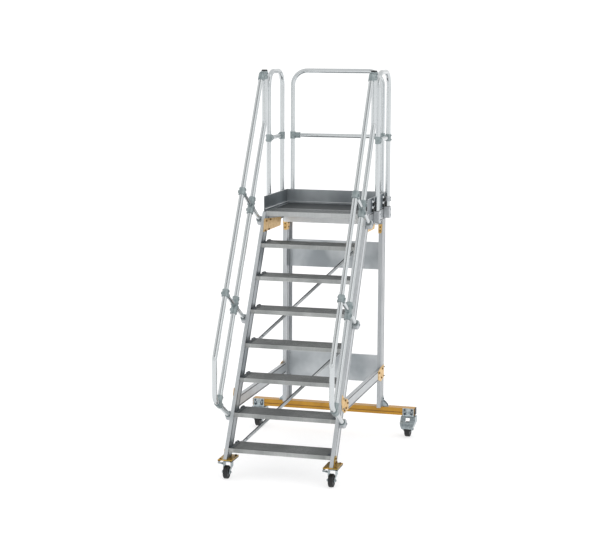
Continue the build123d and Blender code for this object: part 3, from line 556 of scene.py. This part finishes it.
# joins copies, puts their place in the mesh and hands the piece to its body
def finishGroup(copies, name, body, material):
    piece = joinParts(copies)
    piece.name = name
    piece.data.name = name
    piece.data.materials.clear()
    piece.data.materials.append(material)
    bpy.ops.object.shade_smooth_by_angle(angle=math.radians(35))
    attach(piece, body)
    return piece


def drop(*sources):
    for source in sources:
        bpy.data.objects.remove(source, do_unlink=True)


# Fasteners that the pieces below copy, in mm
hexBolt = {"across": 13, "head": 5.5, "washer": 18, "washerThick": 1.6}
smallBolt = {"across": 10, "head": 4, "washer": 13, "washerThick": 1.2}
axleNut = {"across": 17, "head": 4, "washer": 19.5, "washerThick": 1}
buttonScrew = {"width": 13, "height": 5, "socket": 5.5}
rivet = {"width": 8, "height": 1.8, "socket": 2.4}
# shares of the head's size, and the least width left round the socket
headShape = {"chamfer": 0.06, "dome": 0.6, "socketDepth": 0.5, "leastRim": 0.2}


def makeHexBolt(s, shape):
    washer = startDisc(s["washer"], s["washerThick"], 0.3, 24, 1)
    head = startDisc(s["across"] * 2 / math.sqrt(3), s["head"], s["across"] * shape["chamfer"], 6, 1)
    head.location.z = s["washerThick"] / 1000
    return joinParts([washer, head])


def makeButtonScrew(s, shape):
    height = s["height"]
    dome = height * shape["dome"]
    made = startDisc(s["width"], height, dome, 24, 3)
    openFaces(made, lambda centre, normal: facesUp(centre, normal) and centre.z > height - 0.01)
    rim = max(s["width"] / 2 - dome - s["socket"] / 2, shape["leastRim"])
    sinkMiddle(rim, height * shape["socketDepth"])
    return made


hexSource = makeHexBolt(hexBolt, headShape)
smallSource = makeHexBolt(smallBolt, headShape)
nutSource = makeHexBolt(axleNut, headShape)
screwSource = makeButtonScrew(buttonScrew, headShape)
rivetSource = makeButtonScrew(rivet, headShape)

# Bolts of the gussets, and the threaded ends that stand out of the outer plates
gussetDetail = {
    # y from the lowest nose and z
    "outer": [
        [(315, 579), (388, 543), (333, 517), (286, 509)],
        [(1480, 547), (1559, 492), (1593, 561)],
    ],
    "inner": [[(1080, 1833), (970, 1832), (1039, 1760), (942, 1759)]],
    "studs": [(1641, 567), (1641, 491), (262, 602), (250, 530)],
    "stud": (9, 12, 1, 16, 1),
    "spin": 17,  # degrees from one bolt to the next
}


def makeGussetDetail(s):
    outer = flight["halfOuter"] + flight["plate"]
    inner = flight["halfClear"] - flight["plate"]
    stud = startDisc(*s["stud"])
    studs = []
    bolts = []
    for y, z in s["studs"]:
        addPair(studs, stud, (outer, y + flight["noseY"], z), (1, 0, 0))
    for x, facing, plates in ((outer, 1, s["outer"]), (inner, -1, s["inner"])):
        for places in plates:
            for number, (y, z) in enumerate(places):
                spot = (x, y + flight["noseY"], z)
                addPair(bolts, hexSource, spot, (facing, 0, 0), s["spin"] * number)
    drop(stud)
    finishGroup(studs, "gusset_studs", "frame", boltZinc)
    finishGroup(bolts, "gusset_bolts", "frame", brownZinc)


makeGussetDetail(gussetDetail)

# Bolts of the top brackets, of the uprights' feet and of the castor brackets, and dark blocks painted as
# the shade inside the upright slots pressed into the castor brackets
bracketDetail = {
    "topFront": [(403, 1746), (403, 1716)],  # x, z on the face of the top bracket
    "topFrontY": 781.5,
    "topSide": [(820, 1752), (862, 1752), (830, 1716)],  # y, z on its inner side
    "topSideX": 387,
    "footLegX": 426,
    "footY": 870,
    "footZ": (262, 298),
    "shelf": (460, 240),
    "castor": [(617, 188), (677, 188), (617, 222), (677, 222)],
    "castorY": 830.5,
    "slot": (8, 30, 1.4),
    "slotX": (613, 629, 665, 681),
    "slotY": 830.3,
    "slotZ": 197,
}


def makeBracketDetail(s):
    dark = []
    brown = []
    for x, z in s["topFront"]:
        addPair(brown, smallSource, (x, s["topFrontY"], z), (0, -1, 0), 11)
    for y, z in s["topSide"]:
        addPair(brown, smallSource, (s["topSideX"], y, z), (-1, 0, 0), 23)
    for z in s["footZ"]:
        addPair(dark, hexSource, (s["footLegX"], s["footY"], z), (1, 0, 0), 20)
    addPair(dark, hexSource, (s["shelf"][0], s["footY"], s["shelf"][1]), (0, 0, 1), 8)
    for x, z in s["castor"]:
        addPair(dark, hexSource, (x, s["castorY"], z), (0, -1, 0), 14)
    finishGroup(brown, "top_bracket_bolts", "frame", brownZinc)
    finishGroup(dark, "bracket_bolts", "frame", darkZinc)
    slot = startBlock(s["slot"], 0.5)
    slots = []
    for x in s["slotX"]:
        addPair(slots, slot, (x, s["slotY"], s["slotZ"]), (0, -1, 0), 0, (1, 0, 0))
    drop(slot)
    # dark blocks: painted shade inside the slots
    finishGroup(slots, "castor_bracket_slot_shade", "frame", darkZinc)


makeBracketDetail(bracketDetail)

# Triangular webs that stiffen the feet of the uprights; the toe is how high their thin end is
footWebs = {"leg": 42, "shelf": 38, "thick": 4, "toe": 12, "corner": (426, 240), "y": (850, 890)}


def makeFootWebs(s):
    source = startBlock((s["shelf"], s["thick"], s["leg"]), 0.4, 1)
    openFaces(source, anyFace)
    bpy.ops.mesh.bisect(
        plane_co=(s["shelf"] / 2000, 0, (s["toe"] - s["leg"] / 2) / 1000),
        plane_no=(s["leg"] - s["toe"], 0, s["shelf"]),
        use_fill=True,
        clear_outer=True,
    )
    closeEdit()
    webs = []
    x, z = s["corner"]
    for y in s["y"]:
        addPair(webs, source, (x + s["shelf"] / 2, y, z + s["leg"] / 2), (0, 0, 1), 0, (1, 0, 0))
    drop(source)
    finishGroup(webs, "upright_foot_webs", "frame", brightZinc)


makeFootWebs(footWebs)

# Clamps of the rails: a collar at each end, rounded ears outside and screws inside
clampDetail = {
    "hand": {"off": 505, "length": 56, "ears": (0,), "screws": (-14, 14)},
    "knee": {"off": 247, "length": 138, "ears": (-34, 34), "screws": (-48, -17, 17, 48)},
    "width": 51,
    "collar": (54, 50.4, 6, 1.2, 28),
    "ear": (13, 22, 9),
    "earStand": 2,
    "legScrews": [(0, -20, 0), (50, 0, 2)],  # along, off and outwards from the leg's own fitting
}


def makeClampDetail(s):
    collar = startRing(*s["collar"])
    ear = startBlock(s["ear"], 2.4, 3)
    collars = []
    ears = []
    screws = []
    x = flight["railX"]
    half = s["width"] / 2
    for place in flight["struts"]:
        for clamp in (s["hand"], s["knee"]):
            for end in (-1, 1):
                y, z = slopePoint(place + end * (clamp["length"] / 2 - 1), clamp["off"])
                addPair(collars, collar, (x, y, z), (0, -end * slopeCos, -end * slopeSin))
            for step in clamp["ears"]:
                y, z = slopePoint(place + step, clamp["off"])
                addPair(ears, ear, (x + half + s["earStand"], y, z), (0, -slopeSin, slopeCos), 0, (1, 0, 0))
            for step in clamp["screws"]:
                y, z = slopePoint(place + step, clamp["off"])
                addPair(screws, screwSource, (x - half, y, z), (-1, 0, 0))
    for along, off, outward in s["legScrews"]:
        y, z = slopePoint(flight["leg"] + along, s["knee"]["off"] + off)
        addPair(screws, screwSource, (x - half + outward, y, z), (-1, 0, 0))
    drop(collar, ear)
    finishGroup(collars, "clamp_collars", "frame", castMetal)
    finishGroup(ears, "clamp_ears", "frame", castMetal)
    finishGroup(screws, "clamp_screws", "frame", boltZinc)


makeClampDetail(clampDetail)

# Castings that carry the rails' feet: round bosses with a domed end, a lip around each tube,
# and a dished cover with a bolt on the outer face
railFeet = {
    "off": -46,
    "boss": (72, 45, 15, 44, 5),
    "lip": (52, 39.6, 8, 1.6),
    "lipOff": -14,
    "cover": (38, 2.6, 1.2, 36),
    "coverX": 466.6,
    "dish": (6, 1.2),
    "boltStand": 1.4,
}


def makeRailFeet(s):
    boss = startDisc(*s["boss"])
    lip = startRing(*s["lip"])
    cover = startDisc(*s["cover"])
    openFaces(cover, facesUp)
    sinkMiddle(*s["dish"])
    bosses = []
    lips = []
    covers = []
    bolts = []
    for place in (flight["leg"], *flight["struts"]):
        y, z = slopePoint(place, s["off"])
        addPair(bosses, boss, (flight["halfOuter"], y, z), (1, 0, 0))
        end = (flight["railX"], *slopePoint(place, s["lipOff"]))
        addPair(lips, lip, end, (0, -slopeSin, slopeCos))
        addPair(covers, cover, (s["coverX"], y, z), (1, 0, 0))
        addPair(bolts, hexSource, (s["coverX"] + s["boltStand"], y, z), (1, 0, 0), 9)
    drop(boss, lip, cover)
    finishGroup(lips, "rail_foot_lips", "frame", castMetal)
    piece = finishGroup(bosses, "rail_foot_bosses", "frame", paleCast)
    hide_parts("rail_feet")
    finishGroup(covers, "rail_foot_covers", "frame", paleCast)
    finishGroup(bolts, "foot_screws", "frame", boltZinc)


makeRailFeet(railFeet)

# Bolts of the front foot plates, at the corners and through the tab that stands up
plateBolts = {
    "x": 405,
    "y": -733.5,
    "across": 39,
    "along": 66,
    "top": 154,
    "tabX": 427,
    "tab": [(-18, 176), (18, 176), (0, 206)],  # y from the middle, z
}


def makePlateBolts(s):
    bolts = []
    for across in (-s["across"], s["across"]):
        for along in (-s["along"], s["along"]):
            addPair(bolts, hexSource, (s["x"] + across, s["y"] + along, s["top"]), (0, 0, 1), 5)
    for y, z in s["tab"]:
        addPair(bolts, hexSource, (s["tabX"], s["y"] + y, z), (1, 0, 0), 12)
    finishGroup(bolts, "foot_plate_bolts", "frame", brownZinc)


makePlateBolts(plateBolts)

# Collars in the mouths of the guards' sleeves, and two screws in each sleeve
sleeveDetail = {
    "sideX": 474,
    "sideY": (459.5, 842.5),
    "middleX": 448,
    "backX": 380,
    "backY": 946,  # heads sit in pockets at the back
    "backMiddleY": 925.5,
    "z": (1842, 1888),
    "top": 1912,
    "collar": (45, 38.4, 3.5, 1),
}


def makeSleeveDetail(s):
    screws = []
    collars = []
    source = startRing(*s["collar"])
    for z in s["z"]:
        for y in s["sideY"]:
            addPair(screws, screwSource, (s["sideX"], y, z), (1, 0, 0))
        addPair(screws, screwSource, (s["backX"], s["backY"], z), (0, 1, 0))
    for y in s["sideY"]:
        addPair(collars, source, (s["middleX"], y, s["top"]), (0, 0, 1))
    addPair(collars, source, (s["backX"], s["backMiddleY"], s["top"]), (0, 0, 1))
    drop(source)
    finishGroup(collars, "sleeve_collars", "frame", darkPlastic)
    finishGroup(screws, "sleeve_screws", "frame", boltZinc)


makeSleeveDetail(sleeveDetail)
print("fasteners placed")

# Tread ends: a low ribbed cover with a screw at each end, and a bolted bracket at the back;
# fine ribs along the nose
treadDetail = {
    "cover": (30, 196, 3),
    "coverX": 376,
    "ribs": 4,
    "rib": (1.6, 150, 1.4),
    "ribLift": 0.4,
    "screwReach": 86,
    "bracket": (14, 60, 9),
    "bracketGap": (1, 4),  # to the stringer and to the tread's back edge
    "nose": (700, 2.4, 3),
    "noseDrops": (7, 13.5, 20, 26.5),
}


def makeTreadCover(s):
    wide, _, high = s["cover"]
    parts = [startBlock(s["cover"], 0.9)]
    for number in range(s["ribs"]):
        one = startBlock(s["rib"], 0.4, 1)
        step = wide / (s["ribs"] + 1)
        one.location = ((number + 0.5 - s["ribs"] / 2) * step / 1000, 0, (high / 2 + s["ribLift"]) / 1000)
        parts.append(one)
    return joinParts(parts)


def makeTreadDetail(s):
    wide, deep, high = s["bracket"]
    cover = makeTreadCover(s)
    bracket = startBlock(s["bracket"], 2, 3)
    rib = startBlock(s["nose"], 0.6, 1)
    covers = []
    screws = []
    brackets = []
    bolts = []
    ribs = []
    x = flight["halfClear"] - s["bracketGap"][0] - wide / 2
    back = flight["treadDepth"] - s["bracketGap"][1] - deep / 2
    thick = s["cover"][2]
    for number in range(flight["treads"]):
        y = flight["noseY"] + going * number
        z = flight["noseZ"] + flight["rise"] * number
        middle = y + flight["treadDepth"] / 2
        addPair(brackets, bracket, (x, y + back, z + high / 2), (0, 0, 1), 0, (1, 0, 0))
        for step in (-deep / 4, deep / 4):
            addPair(bolts, smallSource, (x - wide / 2, y + back + step, z + high / 2), (-1, 0, 0), 10)
        addPair(covers, cover, (s["coverX"], middle, z + thick / 2), (0, 0, 1))
        for end in (-s["screwReach"], s["screwReach"]):
            addPair(screws, smallSource, (s["coverX"], middle + end, z + thick), (0, 0, 1), 12 * number)
        for fall in s["noseDrops"]:
            ribs.append(copyTo(rib, (0, y, z - fall), (0, 0, 1)))
    drop(cover, bracket, rib)
    finishGroup(brackets, "tread_brackets", "frame", darkCast)
    finishGroup(bolts, "tread_bracket_bolts", "frame", boltZinc)
    finishGroup(covers, "tread_end_covers", "frame", darkCast)
    finishGroup(screws, "tread_screws", "frame", darkZinc)
    finishGroup(ribs, "tread_nose_ribs", "frame", treadMetal)


makeTreadDetail(treadDetail)

# Bolts that hold the crossing braces to the tread corners, from below and from above
braceBolts = {"half": 357, "treads": 3, "thick": 5, "treadThick": 32.5, "lead": 24, "above": 44, "below": 8}


def makeBraceBolts(s):
    bolts = []
    span = s["treads"] * flight["rise"] / slopeSin
    run = math.hypot(span, 2 * s["half"])
    depth = flight["treadDepth"]
    off = -depth * slopeSin - s["treadThick"] * slopeCos
    corner = depth * slopeCos - s["treadThick"] * slopeSin
    for first in (0, s["treads"]):
        middle = first * flight["rise"] / slopeSin + corner + s["lead"] + span / 2
        for end in (-1, 1):
            share = end * (run / 2 - s["above"]) / run
            place = (share * 2 * s["half"], *slopePoint(middle + share * span, off))
            bolts.append(copyTo(smallSource, place, (0, -slopeSin, slopeCos), 10))
            share = end * (run / 2 - s["below"]) / run
            place = (share * 2 * s["half"], *slopePoint(middle + share * span, off - s["thick"]))
            bolts.append(copyTo(hexSource, place, (0, slopeSin, -slopeCos), 10))
    finishGroup(bolts, "brace_bolts", "frame", boltZinc)


makeBraceBolts(braceBolts)
print("flight dressed")

# Rivets along the kick boards and the rear panels
sheetRivets = {
    "sideY": (260, 360, 560, 660, 760),
    "sideZ": (1921, 2012),
    "sideX": (422, 419),
    "backX": (-300, -150, 0, 150, 300),
    "backY": (899.5, 896.5),
    "backZ": (1935, 2012),
    "panelX": 378,
    "panelY": 865.5,
    "panels": ((437, 662), (1384, 1609)),
    "panelEdge": 22,
}


def makeSheetRivets(s):
    rivets = []
    for y in s["sideY"]:
        for z in s["sideZ"]:
            addPair(rivets, rivetSource, (s["sideX"][0], y, z), (1, 0, 0))
        addPair(rivets, rivetSource, (s["sideX"][1], y, s["sideZ"][1]), (-1, 0, 0))
    for low, high in s["panels"]:
        for z in (low + s["panelEdge"], (low + high) / 2, high - s["panelEdge"]):
            addPair(rivets, rivetSource, (s["panelX"], s["panelY"], z), (0, -1, 0))
    for x in s["backX"]:
        for z in s["backZ"]:
            rivets.append(copyTo(rivetSource, (x, s["backY"][0], z), (0, 1, 0)))
        rivets.append(copyTo(rivetSource, (x, s["backY"][1], s["backZ"][1]), (0, -1, 0)))
    finishGroup(rivets, "sheet_rivets", "frame", boltZinc)


makeSheetRivets(sheetRivets)

# Rolled rim along the top of the kick boards, and the bright lip along their foot
kickTrim = {
    "sideX": (420.5, 412),  # of the rim and the lip
    "sideY": (239.5, 899.5),
    "backHalf": 419,
    "backY": (898, 889.5),
    "rim": (5, 3),  # across and high
    "rimZ": 2023.5,
    "rimShort": (4, 4),  # shorter than the side and the back board
    "lip": (14, 4.5),
    "lipZ": 1923.5,
    "lipShort": (20, 26),
}


def makeKickTrim(s):
    low, high = s["sideY"]
    strips = []
    for number, (key, soft, segments) in enumerate((("rim", 1.2, 3), ("lip", 0.8, 2))):
        wide, thick = s[key]
        short, backShort = s[key + "Short"]
        side = startBlock((wide, high - low - short, thick), soft, segments)
        back = startBlock((2 * s["backHalf"] - backShort, wide, thick), soft, segments)
        height = s[key + "Z"]
        addPair(strips, side, (s["sideX"][number], (low + high) / 2, height), (0, 0, 1), 0, (1, 0, 0))
        strips.append(copyTo(back, (0, s["backY"][number], height), (0, 0, 1), 0, (1, 0, 0)))
        drop(side, back)
    finishGroup(strips, "kick_board_trim", "frame", brightTrim)


makeKickTrim(kickTrim)

# Raised joint between the deck's front plank and the rest
deckJoint = {"size": (786, 9, 1.6), "y": 432, "z": 1910.8}


def makeDeckJoint(s):
    strip = startBlock(s["size"], 0.6)
    strip.location = (0, s["y"] / 1000, s["z"] / 1000)
    finishGroup([strip], "deck_joint", "frame", paleCast)


makeDeckJoint(deckJoint)

# Dark plates with black jaws that hold the kick boards in front of each side post, and bright bolts
kickClamps = {
    "posts": (459.5, 842.5),
    "x": 423.7,
    "plate": (3, 96, 106),
    "plateSpot": (-62, 1962),  # y from the post, z
    "jaw": (14, 44, 26),
    "jawStand": 6,
    "jaws": [(-34, 1972, -0.1), (-58, 1926, 0.02), (-26, 1934, 0.14)],  # y from the post, z and lean
    "bolt": (19, 13, 5, 24, 4),
    "bolts": [(-80, 1948), (-80, 1994)],
}


def makeKickClamps(s):
    plate = startBlock(s["plate"], 1)
    jaw = startBlock(s["jaw"], 4, 3)
    bolt = startDisc(*s["bolt"])
    plates = []
    jaws = []
    bolts = []
    for post in s["posts"]:
        lead, height = s["plateSpot"]
        addPair(plates, plate, (s["x"], post + lead, height), (0, 0, 1), 0, (1, 0, 0))
        for y, z, lean in s["jaws"]:
            addPair(jaws, jaw, (s["x"] + s["jawStand"], post + y, z), (0, lean, 1), 0, (1, 0, 0))
        for y, z in s["bolts"]:
            addPair(bolts, bolt, (s["x"], post + y, z), (1, 0, 0))
    drop(plate, jaw, bolt)
    finishGroup(jaws, "kick_board_clamps", "frame", blackPlastic)
    finishGroup(plates, "kick_board_plates", "frame", darkZinc)
    finishGroup(bolts, "kick_board_bolts", "frame", brightTrim)


makeKickClamps(kickClamps)

# Rings that lock the rear posts above their sleeves
postRings = {
    "x": 448,
    "y": 842.5,
    "z": 1954,
    "ring": (50, 38.6, 40, 2),
    "screwOut": 24.4,
    "lifts": (10, 30),
}


def makePostRings(s):
    source = startRing(*s["ring"])
    rings = []
    screws = []
    addPair(rings, source, (s["x"], s["y"], s["z"]), (0, 0, 1))
    for lift in s["lifts"]:
        addPair(screws, screwSource, (s["x"] + s["screwOut"], s["y"], s["z"] + lift), (1, 0, 0))
    drop(source)
    finishGroup(rings, "post_rings", "frame", paleCast)
    finishGroup(screws, "post_ring_screws", "frame", boltZinc)


makePostRings(postRings)

# Screws in the tees of the middle rails, and beads where their sockets end
teeDetail = {
    "sideX": 448,
    "sideY": ((459.5, 1), (842.5, -1)),  # and the way to the rail
    "back": (380, 925.5),
    "z": 2472,
    "step": 17,
    "radius": 22.5,
    "backSeat": 17,  # heads sit in pockets at the back
    "reach": 62.5,
    "bead": (50, 46.4, 5, 1.2, 28),
}


def makeTeeDetail(s):
    source = startRing(*s["bead"])
    beads = []
    screws = []
    backX, backY = s["back"]
    for y, inward in s["sideY"]:
        addPair(beads, source, (s["sideX"], y + inward * s["reach"], s["z"]), (0, -inward, 0))
    addPair(beads, source, (backX - s["reach"], backY, s["z"]), (1, 0, 0))
    for z in (s["z"] - s["step"], s["z"] + s["step"]):
        for y, _ in s["sideY"]:
            addPair(screws, screwSource, (s["sideX"] + s["radius"], y, z), (1, 0, 0))
        addPair(screws, screwSource, (backX, backY + s["backSeat"], z), (0, 1, 0))
    drop(source)
    finishGroup(beads, "tee_beads", "frame", castMetal)
    finishGroup(screws, "tee_screws", "frame", boltZinc)


makeTeeDetail(teeDetail)

# Screws of the fittings at the top of the flight's rails, and the domes on their caps
topDetail = {"y": 321.5, "screwZ": (2990, 2962), "radius": 26, "cap": (44, 3.5, 2.4, 32, 3), "capZ": 3015.8}


def makeTopDetail(s):
    source = startDisc(*s["cap"])
    caps = []
    screws = []
    addPair(caps, source, (flight["railX"], s["y"], s["capZ"]), (0, 0, 1))
    for z in s["screwZ"]:
        for end in (-1, 1):
            addPair(screws, screwSource, (flight["railX"] + end * s["radius"], s["y"], z), (end, 0, 0))
    drop(source)
    finishGroup(caps, "top_cap_domes", "frame", blackPlastic)
    finishGroup(screws, "top_fitting_screws", "frame", boltZinc)


makeTopDetail(topDetail)

# Moulded plugs in the ends of the rear beam
beamPlugs = {"x": 701.3, "y": 872, "z": 206, "size": (70, 55, 2.6), "dish": (9, 1.3)}


def makeBeamPlugs(s):
    source = startBlock(s["size"], 1, 3)
    openFaces(source, facesUp)
    sinkMiddle(*s["dish"])
    plugs = []
    for side in (-1, 1):
        plugs.append(copyTo(source, (side * s["x"], s["y"], s["z"]), (side, 0, 0), 0, (0, 1, 0)))
    drop(source)
    finishGroup(plugs, "beam_plugs", "frame", blackPlastic)


makeBeamPlugs(beamPlugs)
print("platform and beam dressed")

# Castors at rest: swivel x and y, axle y, axle height and the sizes that the details hang on
castors = {
    "front": {
        "x": 405, "y": -733.5, "axleY": -771.5,
        "radius": 50, "halfTyre": 17.5, "halfLeg": 26.5, "rim": 35,
    },
    "rear": {
        "x": 647, "y": 872, "axleY": 838,
        "radius": 62.5, "halfTyre": 21, "halfLeg": 37, "rim": 47.5,
    },
}
castorDetail = {
    "nutStand": 5,
    "guardThick": 1.6,
    "guardSink": 2.6,  # behind the tyre's side
    "guardGap": 3,  # to the rim
    "guardDish": (5, 0.7),
    "cap": (26, 2.6, 1),
    "capStand": 0.6,
    "spokes": 6,
    "spokeTurn": 15,
    "spokeShort": 22,  # than the rim's radius
    "spokeLift": 4,
    "spokeStand": 1.1,
    "bead": 2.4,
    "beadInset": 7.5,
    "beadSink": 0.3,
    "race": (64, 56, 7, 1.5),
    "raceZ": 129,
    "grip": (34, 22, 5),
    "gripPlace": (-58, -10, 108.2),  # from the swivel, and z
    "gripTilt": 9.9,
    "gripRib": (2, 20, 1.6),
    "gripRibs": (-12, -6, 0, 6, 12),
    "gripRibLift": 2.8,
}


def makeAxleNuts(kind, s, d, side, name):
    out = s["halfLeg"] + d["nutStand"]
    nuts = []
    for end in (-1, 1):
        place = (side * s["x"] + end * out, s["axleY"], s["radius"])
        nuts.append(copyTo(nutSource, place, (end, 0, 0), 13))
    finishGroup(nuts, f"{kind}_axle_nuts_{name}", f"{kind}_castor_{name}", boltZinc)


# thin moulded guards on both sides of the wheel, each with raised spokes
def makeWheelGuards(kind, s, d, side, name):
    y, z = s["axleY"], s["radius"]
    disc = startDisc(2 * (s["rim"] - d["guardGap"]), d["guardThick"], 0.6, 40, 1)
    openFaces(disc, facesUp)
    sinkMiddle(*d["guardDish"])
    spoke = startBlock((s["rim"] - d["spokeShort"], 4, 2), 0.7)
    cap = startDisc(*d["cap"])
    far = s["rim"] / 2 + d["spokeLift"]
    parts = []
    for end in (-1, 1):
        x = side * s["x"] + end * (s["halfTyre"] - d["guardSink"])
        parts.append(copyTo(disc, (x, y, z), (end, 0, 0)))
        parts.append(copyTo(cap, (x + end * d["capStand"], y, z), (end, 0, 0)))
        for number in range(d["spokes"]):
            turn = math.radians(360 / d["spokes"] * number + d["spokeTurn"])
            ahead, up = math.cos(turn), math.sin(turn)
            place = (x + end * d["spokeStand"], y + far * ahead, z + far * up)
            parts.append(copyTo(spoke, place, (end, 0, 0), 0, (0, ahead, up)))
    drop(disc, spoke, cap)
    finishGroup(parts, f"{kind}_wheel_guards_{name}", f"{kind}_wheel_{name}", darkPlastic)


# raised rings on the sides of the tyre
def makeTyreBeads(kind, s, d, side, name):
    clearSelection()
    bpy.ops.mesh.primitive_torus_add(
        major_radius=(s["radius"] - d["beadInset"]) / 1000,
        minor_radius=d["bead"] / 2000,
        major_segments=56,
        minor_segments=8,
        location=(0, 0, 0),
    )
    source = bpy.context.object
    beads = []
    for end in (-1, 1):
        x = side * s["x"] + end * (s["halfTyre"] - d["beadSink"])
        beads.append(copyTo(source, (x, s["axleY"], s["radius"]), (end, 0, 0)))
    drop(source)
    finishGroup(beads, f"{kind}_tyre_beads_{name}", f"{kind}_wheel_{name}", rubber)


def makeRaceRing(s, d, side, name):
    source = startRing(*d["race"])
    ring = copyTo(source, (side * s["x"], s["y"], d["raceZ"]), (0, 0, 1))
    drop(source)
    finishGroup([ring], f"front_race_ring_{name}", "frame", darkZinc)


# the pedal's ribbed end, tilted with the pedal
def makePedalGrip(s, d, side, name):
    grip = startBlock(d["grip"], 1.6, 3)
    rib = startBlock(d["gripRib"], 0.5, 1)
    outward, ahead, z = d["gripPlace"]
    x = side * s["x"] + outward
    y = s["y"] + ahead
    parts = [copyTo(grip, (x, y, z), (0, 0, 1))]
    for step in d["gripRibs"]:
        parts.append(copyTo(rib, (x + step, y, z + d["gripRibLift"]), (0, 0, 1)))
    drop(grip, rib)
    tilt = math.radians(d["gripTilt"])
    for one in parts:
        one.rotation_euler.y = tilt
        one.location.z -= (one.location.x - parts[0].location.x) * math.tan(tilt)
    finishGroup(parts, f"pedal_grip_{name}", f"front_castor_{name}", brightZinc)


for kind, place in castors.items():
    for side, name in ((-1, "left"), (1, "right")):
        makeAxleNuts(kind, place, castorDetail, side, name)
        makeWheelGuards(kind, place, castorDetail, side, name)
        makeTyreBeads(kind, place, castorDetail, side, name)
        if kind == "front":
            makeRaceRing(place, castorDetail, side, name)
            makePedalGrip(place, castorDetail, side, name)

drop(hexSource, smallSource, nutSource, screwSource, rivetSource)
print("castors dressed")

# Floor, light and surroundings of the studio
studio = {
    "floor": 240,  # metres across
    "fill": 1.12,  # even light that matt surfaces get from all round
    "low": 1.0,  # brightness of the surroundings near the horizon, as mirrored
    "high": 0.9,
    "rising": (0.55, 0.85),  # heights between which the brightness changes, 0.5 is the horizon
    "flag": 0.02,  # of the dark flag above the camera that the sloping tubes mirror
    # where it starts, is full, and ends, from left to right, front to back and down to up
    "flagEdges": {"X": (0.42, 0.46, 0.76, 0.82), "Y": (0, 0.01, 0.36, 0.42), "Z": (0.74, 0.78, 0.94, 0.97)},
    "sun": 0.45,
    "sunAngle": 60,  # degrees across, so that shadows are soft
    "sunFrom": (0.62, -0.55, 0.9),
}


def makeStage(s):
    paint = makeGrained(
        "matt pale studio floor",
        {
            "tint": "#b2b2b3",
            "deep": "#afafb0",
            "grain": 4,
            "rough": 0.8,
            "depth": 0.01,
            "cloud": 900,
            "spread": 0.02,
            "specular": 0.1,
            "glow": 0.62,  # lifts what little shadow is left
        },
    )
    clearSelection()
    bpy.ops.mesh.primitive_plane_add(size=s["floor"], location=(0, 0, 0))
    made = bpy.context.object
    made.name = "studio_floor"
    bpy.ops.object.transform_apply(location=True, rotation=True, scale=True)
    made.data.materials.append(paint)


def makeSun(s):
    bpy.ops.object.light_add(type="SUN", location=(3, -3, 5))
    lamp = bpy.context.object
    lamp.name = "softKey"
    lamp.data.energy = s["sun"]
    lamp.data.angle = math.radians(s["sunAngle"])
    lamp.rotation_euler = (-Vector(s["sunFrom"])).to_track_quat("-Z", "Y").to_euler()


# a ramp that is one between the two middle stops and falls to nothing at the outer ones
def addWindow(tree, source, output, stops):
    ramp = addNode(tree, "ValToRGB", {}, [("Fac", source, output)])
    stripe = ramp.color_ramp.elements
    while len(stripe) < len(stops):
        stripe.new(0.5)
    for element, position, level in zip(stripe, stops, (0, 1, 1, 0)):
        element.position = position
        element.color = (level, level, level, 1)
    return ramp


def makeWorld(s):
    world = bpy.data.worlds.new("studioWorld")
    world.use_nodes = True
    tree = world.node_tree
    tree.nodes.clear()
    place = addNode(tree, "TexCoord")
    halved = {"operation": "MULTIPLY_ADD", 1: (0.5, 0.5, 0.5), 2: (0.5, 0.5, 0.5)}
    half = addNode(tree, "VectorMath", halved, [(0, place, "Generated")])
    split = addNode(tree, "SeparateXYZ", {}, [("Vector", half, 0)])
    low, high = s["rising"]
    rise = {"From Min": low, "From Max": high, "To Min": s["low"], "To Max": s["high"]}
    sky = addNode(tree, "MapRange", rise, [("Value", split, "Z")])
    flag = None
    for axis, stops in s["flagEdges"].items():
        window = addWindow(tree, split, axis, stops)
        if flag:
            links = [(0, flag, 0), (1, window, "Color")]
            window = addNode(tree, "Math", {"operation": "MULTIPLY"}, links)
        flag = window
    darken = {"data_type": "FLOAT", 3: s["flag"]}
    level = addNode(tree, "Mix", darken, [(0, flag, 0), (2, sky, "Result")])
    white = {"Color": (1, 1, 1, 1)}
    mirrored = addNode(tree, "Background", white, [("Strength", level, 0)])
    even = addNode(tree, "Background", {**white, "Strength": s["fill"]})
    path = addNode(tree, "LightPath")
    links = [(0, path, "Is Diffuse Ray"), (1, path, "Is Camera Ray")]
    plain = addNode(tree, "Math", {"operation": "MAXIMUM"}, links)
    both = addNode(tree, "MixShader", {}, [(0, plain, 0), (1, mirrored, 0), (2, even, 0)])
    addNode(tree, "OutputWorld", {}, [("Surface", both, 0)])
    bpy.context.scene.world = world


makeStage(studio)
makeSun(studio)
makeWorld(studio)
bpy.context.scene.view_settings.view_transform = "Standard"
print("studio lit")
